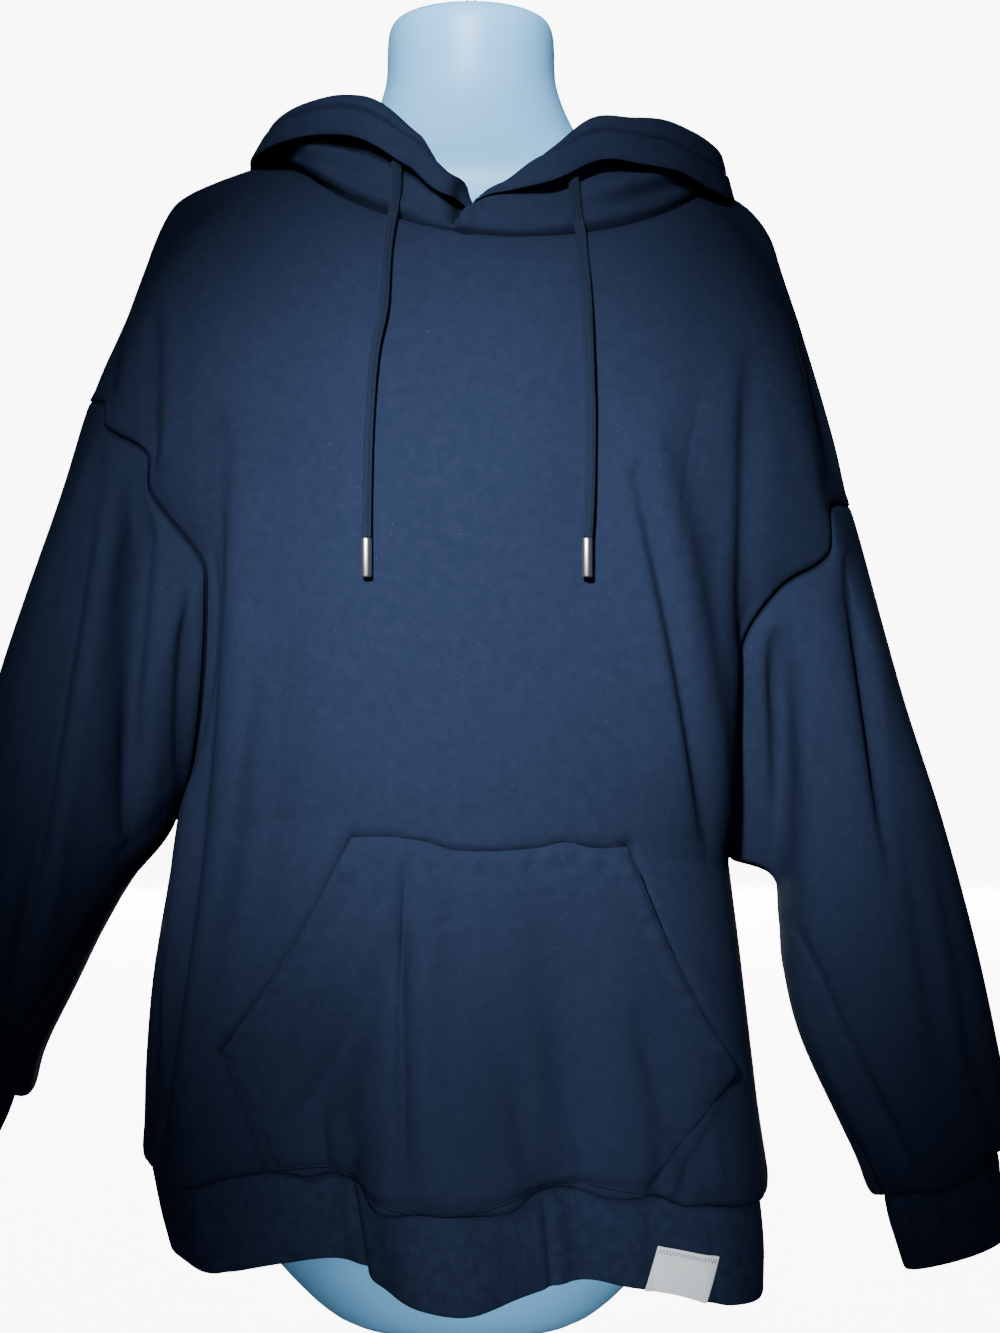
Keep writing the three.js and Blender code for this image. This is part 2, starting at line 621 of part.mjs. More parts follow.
function clothWall(piece, thick) {
  return wallBetween(piece.grid, moved(piece.grid, piece.normals, -thick), piece.wraps);
}

function solidOf(geometry) {
  const bare = geometry.index ? geometry.toNonIndexed() : geometry.clone();
  bare.deleteAttribute("normal");
  bare.deleteAttribute("uv");
  const merged = mergeVertices(bare, 1e-4);
  const mesh = new wasm.Mesh({
    numProp: 3,
    vertProperties: merged.attributes.position.array,
    triVerts: new Uint32Array(merged.index.array),
  });
  return new wasm.Manifold(mesh);
}

function geometryOf(solid) {
  const mesh = solid.getMesh();
  const geometry = new THREE.BufferGeometry();
  geometry.setAttribute("position", new THREE.BufferAttribute(mesh.vertProperties, 3));
  geometry.setIndex(new THREE.BufferAttribute(mesh.triVerts, 1));
  return geometry;
}

// Cloth sewn on a panel: the panel's own points moved out, cut to an outline seen from the front
function patchOn(piece, rowCount, thick, outline) {
  const grid = piece.grid.slice(0, rowCount);
  const normals = piece.normals.slice(0, rowCount);
  const slab = wallBetween(
    moved(grid, normals, PATCH_GAP + thick),
    moved(grid, normals, PATCH_GAP),
    piece.wraps,
  );
  const cutter = new THREE.ExtrudeGeometry(outline, { depth: 200, bevelEnabled: false, curveSegments: 6 });
  cutter.rotateX(Math.PI / 2);
  return geometryOf(solidOf(slab).intersect(solidOf(cutter)));
}

function pocketOutline() {
  const shape = new THREE.Shape();
  const mouth = (from, to, bow) => {
    shape.quadraticCurveTo((from[0] + to[0]) / 2 - bow, (from[1] + to[1]) / 2 - POCKET.mouthBow, to[0], to[1]);
  };
  shape.moveTo(...POCKET.leftFoot);
  shape.lineTo(...POCKET.rightFoot);
  shape.lineTo(...POCKET.rightCorner);
  mouth(POCKET.rightCorner, POCKET.topRight, POCKET.mouthBow);
  shape.lineTo(...POCKET.topLeft);
  mouth(POCKET.topLeft, POCKET.leftCorner, -POCKET.mouthBow);
  shape.lineTo(...POCKET.leftFoot);
  return shape;
}

function labelOutline() {
  return new THREE.Shape(LABEL.map(([x, z]) => new THREE.Vector2(x, z)));
}

// A point of the hood's section, a share t of the way from the neckline to the opening's rim.
// The section is walked in short steps: up the stand, over the roll, down the fall, and up again.
function hoodSection(size, t) {
  const lengths = [size.stand, Math.PI * size.roll, size.fall, Math.PI * size.turn, size.rise];
  const lean = degToRad(size.lean);
  const flare = degToRad(size.flare);
  const headings = [lean, lean, Math.PI - flare, Math.PI - flare, 0];
  const turns = [0, Math.PI - flare - lean, 0, flare - Math.PI, 0];
  const total = lengths.reduce((sum, length) => sum + length, 0);
  const steps = 60;
  const walked = t * total;
  let out = 0;
  let up = 0;
  for (let k = 0; k < steps; k++) {
    let place = ((k + 0.5) / steps) * walked;
    let part = 0;
    while (part < 4 && place > lengths[part]) {
      place -= lengths[part];
      part++;
    }
    const bend = lengths[part] > 0 ? place / lengths[part] : 0;
    const heading = headings[part] + turns[part] * bend;
    out += (Math.sin(heading) * walked) / steps;
    up += (Math.cos(heading) * walked) / steps;
  }
  return { out, up };
}

// The hood's stations: right flap, right front, back, left front, left flap
function hoodStations() {
  const frontSteps = FRONT_COLUMNS - 2 * SHOULDER_COLUMNS;
  const backSteps = BACK_COLUMNS - 2 * SHOULDER_COLUMNS;
  const middle = frontSteps / 2;
  const stations = [];
  const add = (side, degrees, fromEnd, lap) => {
    const around = side < 0 ? Math.abs(degrees) : 180 - Math.abs(degrees);
    stations.push({ side, degrees, around, fromEnd, lap, hand: degrees < 0 ? "left" : "right" });
  };
  for (let i = middle - 1; i <= frontSteps; i++) add(-1, -90 + (i / frontSteps) * 180, i - middle + 1, true);
  for (let i = 1; i < backSteps; i++) add(1, 90 - (i / backSteps) * 180, 99, false);
  for (let i = 0; i <= middle; i++) add(-1, -90 + (i / frontSteps) * 180, middle - i, false);
  return stations;
}

function hoodPoint(station, t) {
  const rows = station.hand === "left" ? HOOD.left : HOOD.right;
  const get = (name) => read(rows, "around", station.around, name);
  const opened = Math.min(station.fromEnd, 1);
  const rolled = smoothstep(station.fromEnd, 0.3, 2);
  const size = {
    stand: lerp(FLAP_CORNER, get("stand"), opened),
    lean: get("lean"),
    roll: get("roll") * rolled,
    fall: get("fall") * rolled,
    flare: get("flare"),
    turn: Math.max(get("turn"), 0),
    rise: Math.max(get("rise"), 0),
  };
  const base = neckPoint(station.side, station.degrees);
  const section = hoodSection(size, t);
  const swing = degToRad(get("swing")) * (station.hand === "left" ? -1 : 1);
  const outward = new THREE.Vector3(base.x - NECK.middle, base.y * 1.3, 0).normalize();
  outward.applyAxisAngle(new THREE.Vector3(0, 0, 1), swing);
  const lap = station.lap ? FLAP_LAP * (1 - smoothstep(station.fromEnd, 1, 3)) : 0;
  base.addScaledVector(outward, section.out + lap);
  base.z += section.up + SEAM_GAP / 2;
  return base;
}

function hoodPiece() {
  const stations = hoodStations();
  const grid = gridOf(stations.length, HOOD_ROWS, (i, j) => hoodPoint(stations[i], j / HOOD_ROWS));
  return clothPiece(grid, false);
}

// The walls on both sides of the neckline seam run level there
function levelNeckWalls(pieces) {
  for (const { piece, row, from, to } of pieces) {
    for (let i = from; i <= to; i++) {
      const point = piece.grid[row][i];
      piece.normals[row][i].set(point.x - NECK.middle, point.y * 1.3, 0).normalize();
    }
  }
}

// A rounded bar along a route
function tubeAlong(points, wide, thick, sides, steps) {
  const section = new THREE.Shape();
  for (let i = 0; i < sides; i++) {
    const angle = ((i + 0.5) / sides) * 2 * Math.PI;
    const move = i ? "lineTo" : "moveTo";
    section[move]((Math.cos(angle) * thick) / 2, (Math.sin(angle) * wide) / 2);
  }
  const path = new THREE.CatmullRomCurve3(points.map((p) => new THREE.Vector3(...p)));
  return new THREE.ExtrudeGeometry(section, { steps, extrudePath: path, bevelEnabled: false });
}

function tipGeometry() {
  const crimp = TIP_RADIUS * 0.88;
  const profile = [
    [0, 0],
    [crimp, 0],
    [TIP_RADIUS, 0.8],
    [TIP_RADIUS, TIP_LONG - 0.8],
    [crimp, TIP_LONG],
    [0, TIP_LONG],
  ];
  const geometry = new THREE.LatheGeometry(
    profile.map(([r, y]) => new THREE.Vector2(r, y)),
    12,
  );
  geometry.rotateX(Math.PI / 2);
  return geometry;
}

// The torso form, closed by a flat base and a domed top
function formGeometry() {
  const positions = [];
  const ring = (row) =>
    Array.from({ length: FORM_COLUMNS }, (_, i) => {
      const angle = (i / FORM_COLUMNS) * 2 * Math.PI;
      return [row.middle + Math.sin(angle) * row.wide, -Math.cos(angle) * row.deep, row.z];
    });
  const rings = FORM.map(ring);
  const base = [FORM[0].middle, 0, 0];
  const top = [0, 0, FORM_TOP];
  for (let i = 0; i < FORM_COLUMNS; i++) {
    const k = (i + 1) % FORM_COLUMNS;
    const last = rings[rings.length - 1];
    positions.push(...base, ...rings[0][k], ...rings[0][i]);
    positions.push(...top, ...last[i], ...last[k]);
    for (let j = 0; j + 1 < rings.length; j++) {
      positions.push(...rings[j][i], ...rings[j][k], ...rings[j + 1][k]);
      positions.push(...rings[j][i], ...rings[j + 1][k], ...rings[j + 1][i]);
    }
  }
  const geometry = new THREE.BufferGeometry();
  geometry.setAttribute("position", new THREE.Float32BufferAttribute(positions, 3));
  return geometry;
}

// A wire loop: two close legs that open into a round eye
function loopGeometry() {
  const foot = FORM_TOP + SEAM_GAP;
  const half = LOOP.legs / 2;
  const eye = LOOP.eye / 2;
  const points = [
    [-half, 0, foot],
    [-half, 0, foot + LOOP.tall * 0.3],
    [-eye, 0, foot + LOOP.tall * 0.62],
    [-eye * 0.75, 0, foot + LOOP.tall * 0.9],
    [0, 0, foot + LOOP.tall],
    [eye * 0.75, 0, foot + LOOP.tall * 0.9],
    [eye, 0, foot + LOOP.tall * 0.62],
    [half, 0, foot + LOOP.tall * 0.3],
    [half, 0, foot],
  ];
  return tubeAlong(points, LOOP.wire, LOOP.wire, LOOP.sides, LOOP.steps);
}

// Cloth pieces
const acrossAt = (i, columns) => -1 + (2 * i) / columns;
const panelRows = LOWER_ROWS + UPPER_ROWS;
const front = clothPiece(
  gridOf(FRONT_COLUMNS + 1, panelRows, (i, j) => panelPoint(-1, acrossAt(i, FRONT_COLUMNS), j, FRONT_COLUMNS)),
  false,
);
const back = clothPiece(
  gridOf(BACK_COLUMNS + 1, panelRows, (i, j) => panelPoint(1, -acrossAt(i, BACK_COLUMNS), j, BACK_COLUMNS)),
  false,
);
const band = clothPiece(
  gridOf(FRONT_COLUMNS + BACK_COLUMNS, BAND_ROWS, (i, j) => {
    const onFront = i < FRONT_COLUMNS;
    const across = onFront ? acrossAt(i, FRONT_COLUMNS) : -acrossAt(i - FRONT_COLUMNS, BACK_COLUMNS);
    return tubePoint(BAND, onFront ? -1 : 1, across, j / BAND_ROWS, 1);
  }),
  true,
);

function sleevePieces(hand) {
  const steps = 2 * UPPER_ROWS;
  const step = (i) => (hand === "right" ? i : (steps - i) % steps);
  const sleeve = clothPiece(
    gridOf(steps, SLEEVE_ROWS, (i, j) => sleevePoint(hand, 1 - j / SLEEVE_ROWS, step(i))),
    true,
    true,
  );
  const cuff = clothPiece(
    gridOf(steps, CUFF_ROWS, (i, j) => ringPoint(CUFF[hand], 1 - j / CUFF_ROWS, step(i) / steps)),
    true,
  );
  return { sleeve, cuff };
}

const arms = { left: sleevePieces("left"), right: sleevePieces("right") };
const hood = hoodPiece();
const sewn = [front, back, band, arms.left.sleeve, arms.left.cuff, arms.right.sleeve, arms.right.cuff];
shareSeamNormals(sewn);
levelNeckWalls([
  { piece: front, row: panelRows, from: SHOULDER_COLUMNS, to: FRONT_COLUMNS - SHOULDER_COLUMNS },
  { piece: back, row: panelRows, from: SHOULDER_COLUMNS, to: BACK_COLUMNS - SHOULDER_COLUMNS },
  { piece: hood, row: 0, from: 0, to: hood.grid[0].length - 1 },
]);
sewn.forEach(drawBack);

// The model
const model = new THREE.Group();

function add(name, geometry, color, roughness, metalness = 0) {
  const material = new THREE.MeshStandardMaterial({ color, roughness, metalness });
  const mesh = new THREE.Mesh(geometry, material);
  mesh.name = name;
  model.add(mesh);
  return mesh;
}

add("torso_form", formGeometry(), new THREE.Color(0.86, 0.9, 0.95), 0.35);
add("hanging_loop", loopGeometry(), new THREE.Color(0.35, 0.35, 0.36), 0.35, 0.9);
add("front_panel", clothWall(front, FLEECE), NAVY, 0.95);
add("back_panel", clothWall(back, FLEECE), NAVY, 0.95);
add("waistband", clothWall(band, FLEECE), RIB_NAVY, 0.95);
for (const hand of ["left", "right"]) {
  add(`${hand}_sleeve`, clothWall(arms[hand].sleeve, FLEECE), NAVY, 0.95);
  add(`${hand}_cuff`, clothWall(arms[hand].cuff, FLEECE), RIB_NAVY, 0.95);
}
add("hood", clothWall(hood, FLEECE), NAVY, 0.95);
add("pocket", patchOn(front, POCKET_ROWS, FLEECE, pocketOutline()), NAVY, 0.95);
add("hem_label", patchOn(band, BAND_ROWS + 1, LABEL_THICK, labelOutline()), new THREE.Color(0.85, 0.88, 0.92), 0.7);
for (const hand of ["left", "right"]) {
  const route = CORD_ROUTE[hand];
  const end = route[route.length - 1];
  add(`${hand}_drawcord`, tubeAlong(route, CORD_WIDE, CORD_THICK, 8, CORD_STEPS), CORD_NAVY, 0.9);
  const tip = add(`${hand}_cord_tip`, tipGeometry(), new THREE.Color(0.8, 0.8, 0.8), 0.3, 1);
  tip.position.set(end[0], end[1], end[2] - SEAM_GAP - TIP_LONG);
}

export default model;
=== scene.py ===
# %% [markdown]
# # A pullover hoodie on a torso form
# The real object is a heavy brushed fleece hoodie, sewn from a few large panels and worn on a
# smooth moulded form. The solids give its size and place, so this lesson only makes the looks.
# Each panel is a grid of points worked out from small tables, because cloth is smooth between
# its seams, and a table row can be moved when a fold is in the wrong place.

import math

import bmesh
import bpy
import numpy as np
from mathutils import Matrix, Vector
from mathutils.bvhtree import BVHTree


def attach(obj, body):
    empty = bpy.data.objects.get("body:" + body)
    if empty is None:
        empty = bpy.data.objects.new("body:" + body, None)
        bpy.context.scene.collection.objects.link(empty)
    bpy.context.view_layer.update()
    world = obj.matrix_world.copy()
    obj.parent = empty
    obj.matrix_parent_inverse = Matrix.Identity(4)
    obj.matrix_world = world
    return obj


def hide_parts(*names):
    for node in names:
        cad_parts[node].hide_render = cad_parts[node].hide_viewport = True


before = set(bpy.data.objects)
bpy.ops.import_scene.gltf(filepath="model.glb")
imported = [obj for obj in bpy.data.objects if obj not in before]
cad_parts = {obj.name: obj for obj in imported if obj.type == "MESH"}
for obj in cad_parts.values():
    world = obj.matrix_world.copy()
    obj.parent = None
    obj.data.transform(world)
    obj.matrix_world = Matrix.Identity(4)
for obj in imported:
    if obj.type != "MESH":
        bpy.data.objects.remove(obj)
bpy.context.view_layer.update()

# %% [markdown]
# ## The camera
# The photograph was taken from straight ahead, level with the chest. Its distance shows in how
# much the near folds grow, and a lens of about 60 mm from 1.5 m away gives the same outline.

# %% Camera
CAMERA_AT = (0.0194, -1.5, 0.434)
LENS_MM = 60.46

camera_data = bpy.data.cameras.new("camera")
camera_data.lens = LENS_MM
camera_data.sensor_width = 36
camera = bpy.data.objects.new("camera", camera_data)
camera.location = CAMERA_AT
camera.rotation_euler = (math.pi / 2, 0, 0)
bpy.context.scene.collection.objects.link(camera)
bpy.context.scene.camera = camera
print("camera at", CAMERA_AT, "with a lens of", LENS_MM, "mm")

# %% [markdown]
# ## Tables and smooth curves
# A pattern cutter works from a short list of measurements. Here every list is a small table with
# named columns, in millimetres, and a smooth curve through its rows gives the places in between.

# %% Reading a table
MM = 0.001


def rows(names, *values):
    """A table with named columns."""
    return {name: np.array(column) for name, column in zip(names.split(), zip(*values))}


def read(table, key, t, name):
    """One column at t, on a smooth curve through the rows."""
    keys, values = table[key], table[name]
    t = np.asarray(t, float)
    last = len(keys) - 1
    i = np.clip(np.searchsorted(keys[1:-1], t, side="left"), 0, last - 1)
    order = np.arange(last + 1)
    below, above = np.maximum(order - 1, 0), np.minimum(order + 1, last)
    slope = (values[above] - values[below]) / (keys[above] - keys[below])
    span = keys[i + 1] - keys[i]
    s = np.clip((t - keys[i]) / span, 0, 1)
    start = (2 * s**3 - 3 * s**2 + 1) * values[i] + (s**3 - 2 * s**2 + s) * span * slope[i]
    end = (3 * s**2 - 2 * s**3) * values[i + 1] + (s**3 - s**2) * span * slope[i + 1]
    return start + end


def smooth(x, low, high):
    s = np.clip((np.asarray(x, float) - low) / (high - low), 0, 1)
    return s * s * (3 - 2 * s)


def mix(a, b, share):
    return a + (b - a) * share


def point(x, y, z):
    return np.stack(np.broadcast_arrays(x, y, z), axis=-1).astype(float)


# %% [markdown]
# ## Meshes from grids
# Cloth has two sides and an edge. A shell of two grids with a rim shows both, and it lets an edge
# cast the thin shadow that makes a seam or a pocket readable. The normals come from the grid
# itself, so the inner side can be set back by the cloth's thickness. A value on each vertex carries
# painted shade, which the materials use to darken the bottoms of seams and the pocket's edges.

# %% Grid to mesh
FLEECE = 2.2


def grid_normals(grid, wraps):
    """Outward directions of a grid, by differences along its rows and columns."""
    if wraps:
        across = np.roll(grid, -1, 1) - np.roll(grid, 1, 1)
    else:
        across = np.gradient(grid, axis=1)
    normal = np.cross(across, np.gradient(grid, axis=0))
    return normal / np.maximum(np.linalg.norm(normal, axis=-1, keepdims=True), 1e-9)


def quads(index, wraps):
    if wraps:
        index = np.concatenate([index, index[:, :1]], 1)
    corners = [index[:-1, :-1], index[:-1, 1:], index[1:, 1:], index[1:, :-1]]
    return np.stack(corners, -1).reshape(-1, 4)


def strip(a, b, wraps):
    return quads(np.stack([a, b]), wraps)


def mesh_object(name, points, faces, closed=True, painted_shade=None):
    mesh = bpy.data.meshes.new(name)
    mesh.from_pydata((np.asarray(points) * MM).tolist(), [], [list(map(int, f)) for f in faces])
    # Painted shade: a value on each vertex that the cloth materials use to darken the cloth where a seam, a gap or
    # a lap would be in shadow.
    if painted_shade is not None:
        layer = mesh.attributes.new("painted_shade", "FLOAT", "POINT")
        layer.data.foreach_set("value", np.asarray(painted_shade, dtype=np.float32))
    bm = bmesh.new()
    bm.from_mesh(mesh)
    bmesh.ops.remove_doubles(bm, verts=bm.verts, dist=1e-7)
    bmesh.ops.holes_fill(bm, edges=[e for e in bm.edges if e.is_boundary], sides=4)
    if closed:
        bmesh.ops.recalc_face_normals(bm, faces=bm.faces)
    bm.to_mesh(mesh)
    bm.free()
    mesh.polygons.foreach_set("use_smooth", [True] * len(mesh.polygons))
    obj = bpy.data.objects.new(name, mesh)
    bpy.context.scene.collection.objects.link(obj)
    return obj


def shell(name, outer, inner, wraps=False, round_rim=0.8, painted_shade=None):
    """One closed wall between two grids, with a slightly rounded rim along the rows' ends."""
    height, width = outer.shape[:2]
    count = height * width
    index = np.arange(count).reshape(height, width)
    points = [outer.reshape(-1, 3), inner.reshape(-1, 3)]
    faces = [quads(index, wraps), quads(index + count, wraps)[:, ::-1]]
    used = 2 * count
    for end, near, turn in ((0, 1, 1), (height - 1, height - 2, -1)):
        away = outer[end] - outer[near]
        away /= np.maximum(np.linalg.norm(away, axis=-1, keepdims=True), 1e-9)
        points.append((outer[end] + inner[end]) / 2 + away * round_rim)
        middle = used + np.arange(width)
        used += width
        faces.append(strip(index[end], middle, wraps)[:, ::-turn])
        faces.append(strip(middle, index[end] + count, wraps)[:, ::-turn])
    obj_faces = np.concatenate(faces)
    if not wraps:
        sides = []
        for column, turn in ((0, -1), (width - 1, 1)):
            ring = np.stack([index[:, column], index[:, column] + count])
            sides.append(quads(ring, False)[:, ::turn])
        obj_faces = np.concatenate([obj_faces, *sides])
    # Painted shade: the outer grid's values go to both sides and to both rims.
    if painted_shade is not None:
        painted_shade = np.broadcast_to(painted_shade, (height, width))
        painted_shade = np.concatenate([painted_shade.ravel(), painted_shade.ravel(), painted_shade[0], painted_shade[-1]])
    return mesh_object(name, np.concatenate(points), obj_faces, painted_shade=painted_shade)


def grid_area(grid, wraps=False):
    """The area of one side of a grid of millimetres, in square metres."""
    if wraps:
        grid = np.concatenate([grid, grid[:, :1]], 1)
    a, b = grid[1:, 1:] - grid[:-1, :-1], grid[1:, :-1] - grid[:-1, 1:]
    return float(np.linalg.norm(np.cross(a, b), axis=-1).sum() / 2 * 1e-6)


def edge_distance(grid, axis):
    """How far each point of a grid is from its first and last line along one axis."""
    step = np.linalg.norm(np.diff(grid, axis=axis), axis=-1)
    far = np.cumsum(step, axis=axis)
    start = np.insert(far, 0, 0, axis=axis)
    total = np.take(start, [-1], axis=axis)
    return start, total - start


# %% [markdown]
# ## Brushed fleece
# Brushed fleece is dull, with a short nap that catches light at a glancing angle and a few pale
# specks of lint. The fleece and the rib get no sheen, and noise in object space gives the specks and
# the mottling, so no picture is needed and nothing slides when the cloth is seen from the side.

# %% Materials
NAVY = (0.0138, 0.0213, 0.0470)
NAVY_DEEP = (0.0110, 0.0175, 0.0400)
LINT = (0.040, 0.062, 0.100)
RIB_NAVY = (0.0165, 0.0262, 0.0580)
CORD_NAVY = (0.0090, 0.0145, 0.0310)
THREAD_NAVY = (0.012, 0.022, 0.05)
FORM_WHITE = (0.20, 0.57, 1.0)
LABEL_WHITE = (0.86, 0.96, 1.0)


def new_material(name, colour, roughness, metallic=0.0):
    material = bpy.data.materials.new(name)
    material.use_nodes = True
    material.diffuse_color = (*colour, 1)
    shader = material.node_tree.nodes["Principled BSDF"]
    shader.inputs["Base Color"].default_value = (*colour, 1)
    shader.inputs["Roughness"].default_value = roughness
    shader.inputs["Metallic"].default_value = metallic
    return material, shader


def noise(tree, scale, detail=3.0, stretch=None):
    """A noise texture in object space, stretched along one axis if asked."""
    where = tree.nodes.new("ShaderNodeTexCoord")
    texture = tree.nodes.new("ShaderNodeTexNoise")
    texture.inputs["Scale"].default_value = scale
    texture.inputs["Detail"].default_value = detail
    source = where.outputs["Object"]
    if stretch:
        mapping = tree.nodes.new("ShaderNodeMapping")
        mapping.inputs["Scale"].default_value = stretch
        tree.links.new(source, mapping.inputs["Vector"])
        source = mapping.outputs["Vector"]
    tree.links.new(source, texture.inputs["Vector"])
    return texture.outputs["Fac"]


def ramp(tree, source, *stops):
    node = tree.nodes.new("ShaderNodeValToRGB")
    node.color_ramp.elements[0].position, node.color_ramp.elements[0].color = stops[0][0], (*stops[0][1], 1)
    node.color_ramp.elements[1].position, node.color_ramp.elements[1].color = stops[1][0], (*stops[1][1], 1)
    tree.links.new(source, node.inputs["Fac"])
    return node.outputs["Color"]


def bump(tree, shader, height, strength, distance):
    node = tree.nodes.new("ShaderNodeBump")
    node.inputs["Strength"].default_value = strength
    node.inputs["Distance"].default_value = distance
    tree.links.new(height, node.inputs["Height"])
    tree.links.new(node.outputs["Normal"], shader.inputs["Normal"])


def cloth_material(name, colour, deep, sheen, lint_at=0.75):
    material, shader = new_material(name, colour, 0.93)
    tree = material.node_tree
    shader.inputs["Specular IOR Level"].default_value = 0.02
    shader.inputs["Sheen Weight"].default_value = sheen
    shader.inputs["Sheen Roughness"].default_value = 0.55
    shader.inputs["Sheen Tint"].default_value = (0.35, 0.5, 0.8, 1)
    mottled = ramp(tree, noise(tree, 160, 6), (0.3, deep), (0.7, colour))
    specks = ramp(tree, noise(tree, 900, 1), (lint_at, (0, 0, 0)), (lint_at + 0.03, (1, 1, 1)))
    blend = tree.nodes.new("ShaderNodeMix")
    blend.data_type = "RGBA"
    tree.links.new(specks, blend.inputs["Factor"])
    tree.links.new(mottled, blend.inputs["A"])
    blend.inputs["B"].default_value = (*LINT, 1)
    # Painted shade: the value stored on each vertex mixes a near-black navy into the colour, so the bottoms of
    # seams, the pocket's edges and the hood's lap look shadowed.
    painted_shade = tree.nodes.new("ShaderNodeAttribute")
    painted_shade.attribute_name = "painted_shade"
    painted_shade_mix = tree.nodes.new("ShaderNodeMix")
    painted_shade_mix.data_type = "RGBA"
    painted_shade_mix.inputs["B"].default_value = (0.0012, 0.002, 0.005, 1)
    tree.links.new(painted_shade.outputs["Fac"], painted_shade_mix.inputs["Factor"])
    tree.links.new(blend.outputs["Result"], painted_shade_mix.inputs["A"])
    tree.links.new(painted_shade_mix.outputs["Result"], shader.inputs["Base Color"])
    bump(tree, shader, noise(tree, 1400, 2), 0.35, 0.0006)
    return material


FLEECE_MATERIAL = cloth_material("fleece", NAVY, NAVY_DEEP, 0.0)
RIB_MATERIAL = cloth_material("rib", RIB_NAVY, NAVY_DEEP, 0.0)
print("made", FLEECE_MATERIAL.name, "and", RIB_MATERIAL.name)


def finish_piece(obj, material, slot, *nodes):
    """Gives a piece its material, hangs it under the root and hides the solids that it stands for."""
    obj.data.materials.clear()
    obj.data.materials.append(material)
    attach(obj, "root")
    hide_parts(*nodes)
    triangles = sum(len(p.vertices) - 2 for p in obj.data.polygons)
    print(obj.name, triangles, "triangles")
    return obj


# %% [markdown]
# ## The drawcords
# Two braided cords leave the hood under its rolled edge and hang down the chest, each to a metal
# tip. They run along the same points as the solid cords. A round tube would look like rubber, so
# the surface has the shallow lengthwise ridges of a braid, which are cheap to work out from the
# length along the cord and the angle round it.

# %% Drawcords
CORD_WIDE = 6.6
CORD_THICK = 5
CORD_STRANDS = 7
BRAID_PITCH = 3.6
BRAID_HIGH = 0.30
CORD_ROUTE = {
    "left": [
        (-45.1, -69.2, 762.1),
        (-46, -72.3, 762.3),
        (-46.4, -74.6, 758.5),
        (-46.2, -75.8, 751),
        (-46.2, -76.6, 740.5),
        (-46.9, -78.4, 731),
        (-48, -82.6, 721.5),
        (-49, -91, 714.2),
        (-50, -99.3, 704),
        (-51, -106, 691.5),
        (-51.5, -110.9, 680.5),
        (-52.8, -119, 654),
        (-57.4, -123.4, 630),
        (-60, -126.8, 600.5),
        (-61.4, -129.3, 572),
        (-62, -130.7, 543),
        (-62.3, -131.4, 513),
    ],
    "right": [
        (64.6, -77.2, 750.1),
        (65.3, -80.3, 750.3),
        (65.8, -82.4, 746.8),
        (66.2, -83.5, 739),
        (67, -84.9, 728),
        (68.6, -87.2, 716),
        (69.7, -94.6, 707.4),
        (70.6, -102.6, 694.4),
        (71.1, -107.2, 686.5),
        (72, -112.4, 674.8),
        (73, -118.2, 654.8),
        (73.6, -124, 630),
        (74.1, -127.1, 610),
        (74.6, -129, 591),
        (74.4, -131.2, 562),
        (73.7, -131.8, 533),
        (72.5, -131.8, 513),
    ],
}


def smooth_route(points, spacing):
    """Points at an even spacing on a centripetal curve through the given ones, as in the solids."""
    p = np.array(points, float)
    ends = [2 * p[0] - p[1], *p, 2 * p[-1] - p[-2]]
    line = []
    for a, b, c, d in zip(ends, ends[1:], ends[2:], ends[3:]):
        t = np.cumsum([0, *(max(np.linalg.norm(q - r), 1e-6) ** 0.5 for q, r in ((b, a), (c, b), (d, c)))])
        s = np.linspace(t[1], t[2], 24, endpoint=False)[:, None]
        ab = (t[1] - s) / (t[1] - t[0]) * a + (s - t[0]) / (t[1] - t[0]) * b
        bc = (t[2] - s) / (t[2] - t[1]) * b + (s - t[1]) / (t[2] - t[1]) * c
        cd = (t[3] - s) / (t[3] - t[2]) * c + (s - t[2]) / (t[3] - t[2]) * d
        low = (t[2] - s) / (t[2] - t[0]) * ab + (s - t[0]) / (t[2] - t[0]) * bc
        high = (t[3] - s) / (t[3] - t[1]) * bc + (s - t[1]) / (t[3] - t[1]) * cd
        line.append((t[2] - s) / (t[2] - t[1]) * low + (s - t[1]) / (t[2] - t[1]) * high)
    line = np.concatenate([*line, p[-1:]])
    far = np.insert(np.cumsum(np.linalg.norm(np.diff(line, axis=0), axis=1)), 0, 0)
    even = np.linspace(0, far[-1], max(int(far[-1] / spacing), 2))
    return np.stack([np.interp(even, far, line[:, k]) for k in range(3)], 1), even


def frames_along(line):
    """A sideways and an outward direction at each point, kept level so that the tube doesn't twist."""
    ahead = np.gradient(line, axis=0)
    ahead /= np.linalg.norm(ahead, axis=1, keepdims=True)
    side = np.zeros_like(ahead)
    side[0] = np.cross(ahead[0], (0, 0, 1))
    for i in range(len(line)):
        start = side[i - 1] if i else side[0]
        side[i] = start - ahead[i] * (start @ ahead[i])
        side[i] /= np.linalg.norm(side[i])
    return side, np.cross(ahead, side)


def tube(name, line, radius_at, sides):
    """A closed tube; radius_at gives its two half widths at a length and an angle."""
    side, out = frames_along(line)
    angle = np.arange(sides) / sides * 2 * np.pi
    far = np.insert(np.cumsum(np.linalg.norm(np.diff(line, axis=0), axis=1)), 0, 0)
    wide, thick = radius_at(far[:, None], angle[None, :])
    ring = line[:, None] + side[:, None] * (np.cos(angle) * wide)[..., None]
    ring = ring + out[:, None] * (np.sin(angle) * thick)[..., None]
    index = np.arange(ring.shape[0] * sides).reshape(-1, sides)
    faces = [list(f) for f in quads(index, True)]
    faces += [list(index[0][::-1]), list(index[-1])]
    obj = mesh_object(name, ring.reshape(-1, 3), faces)
    return obj


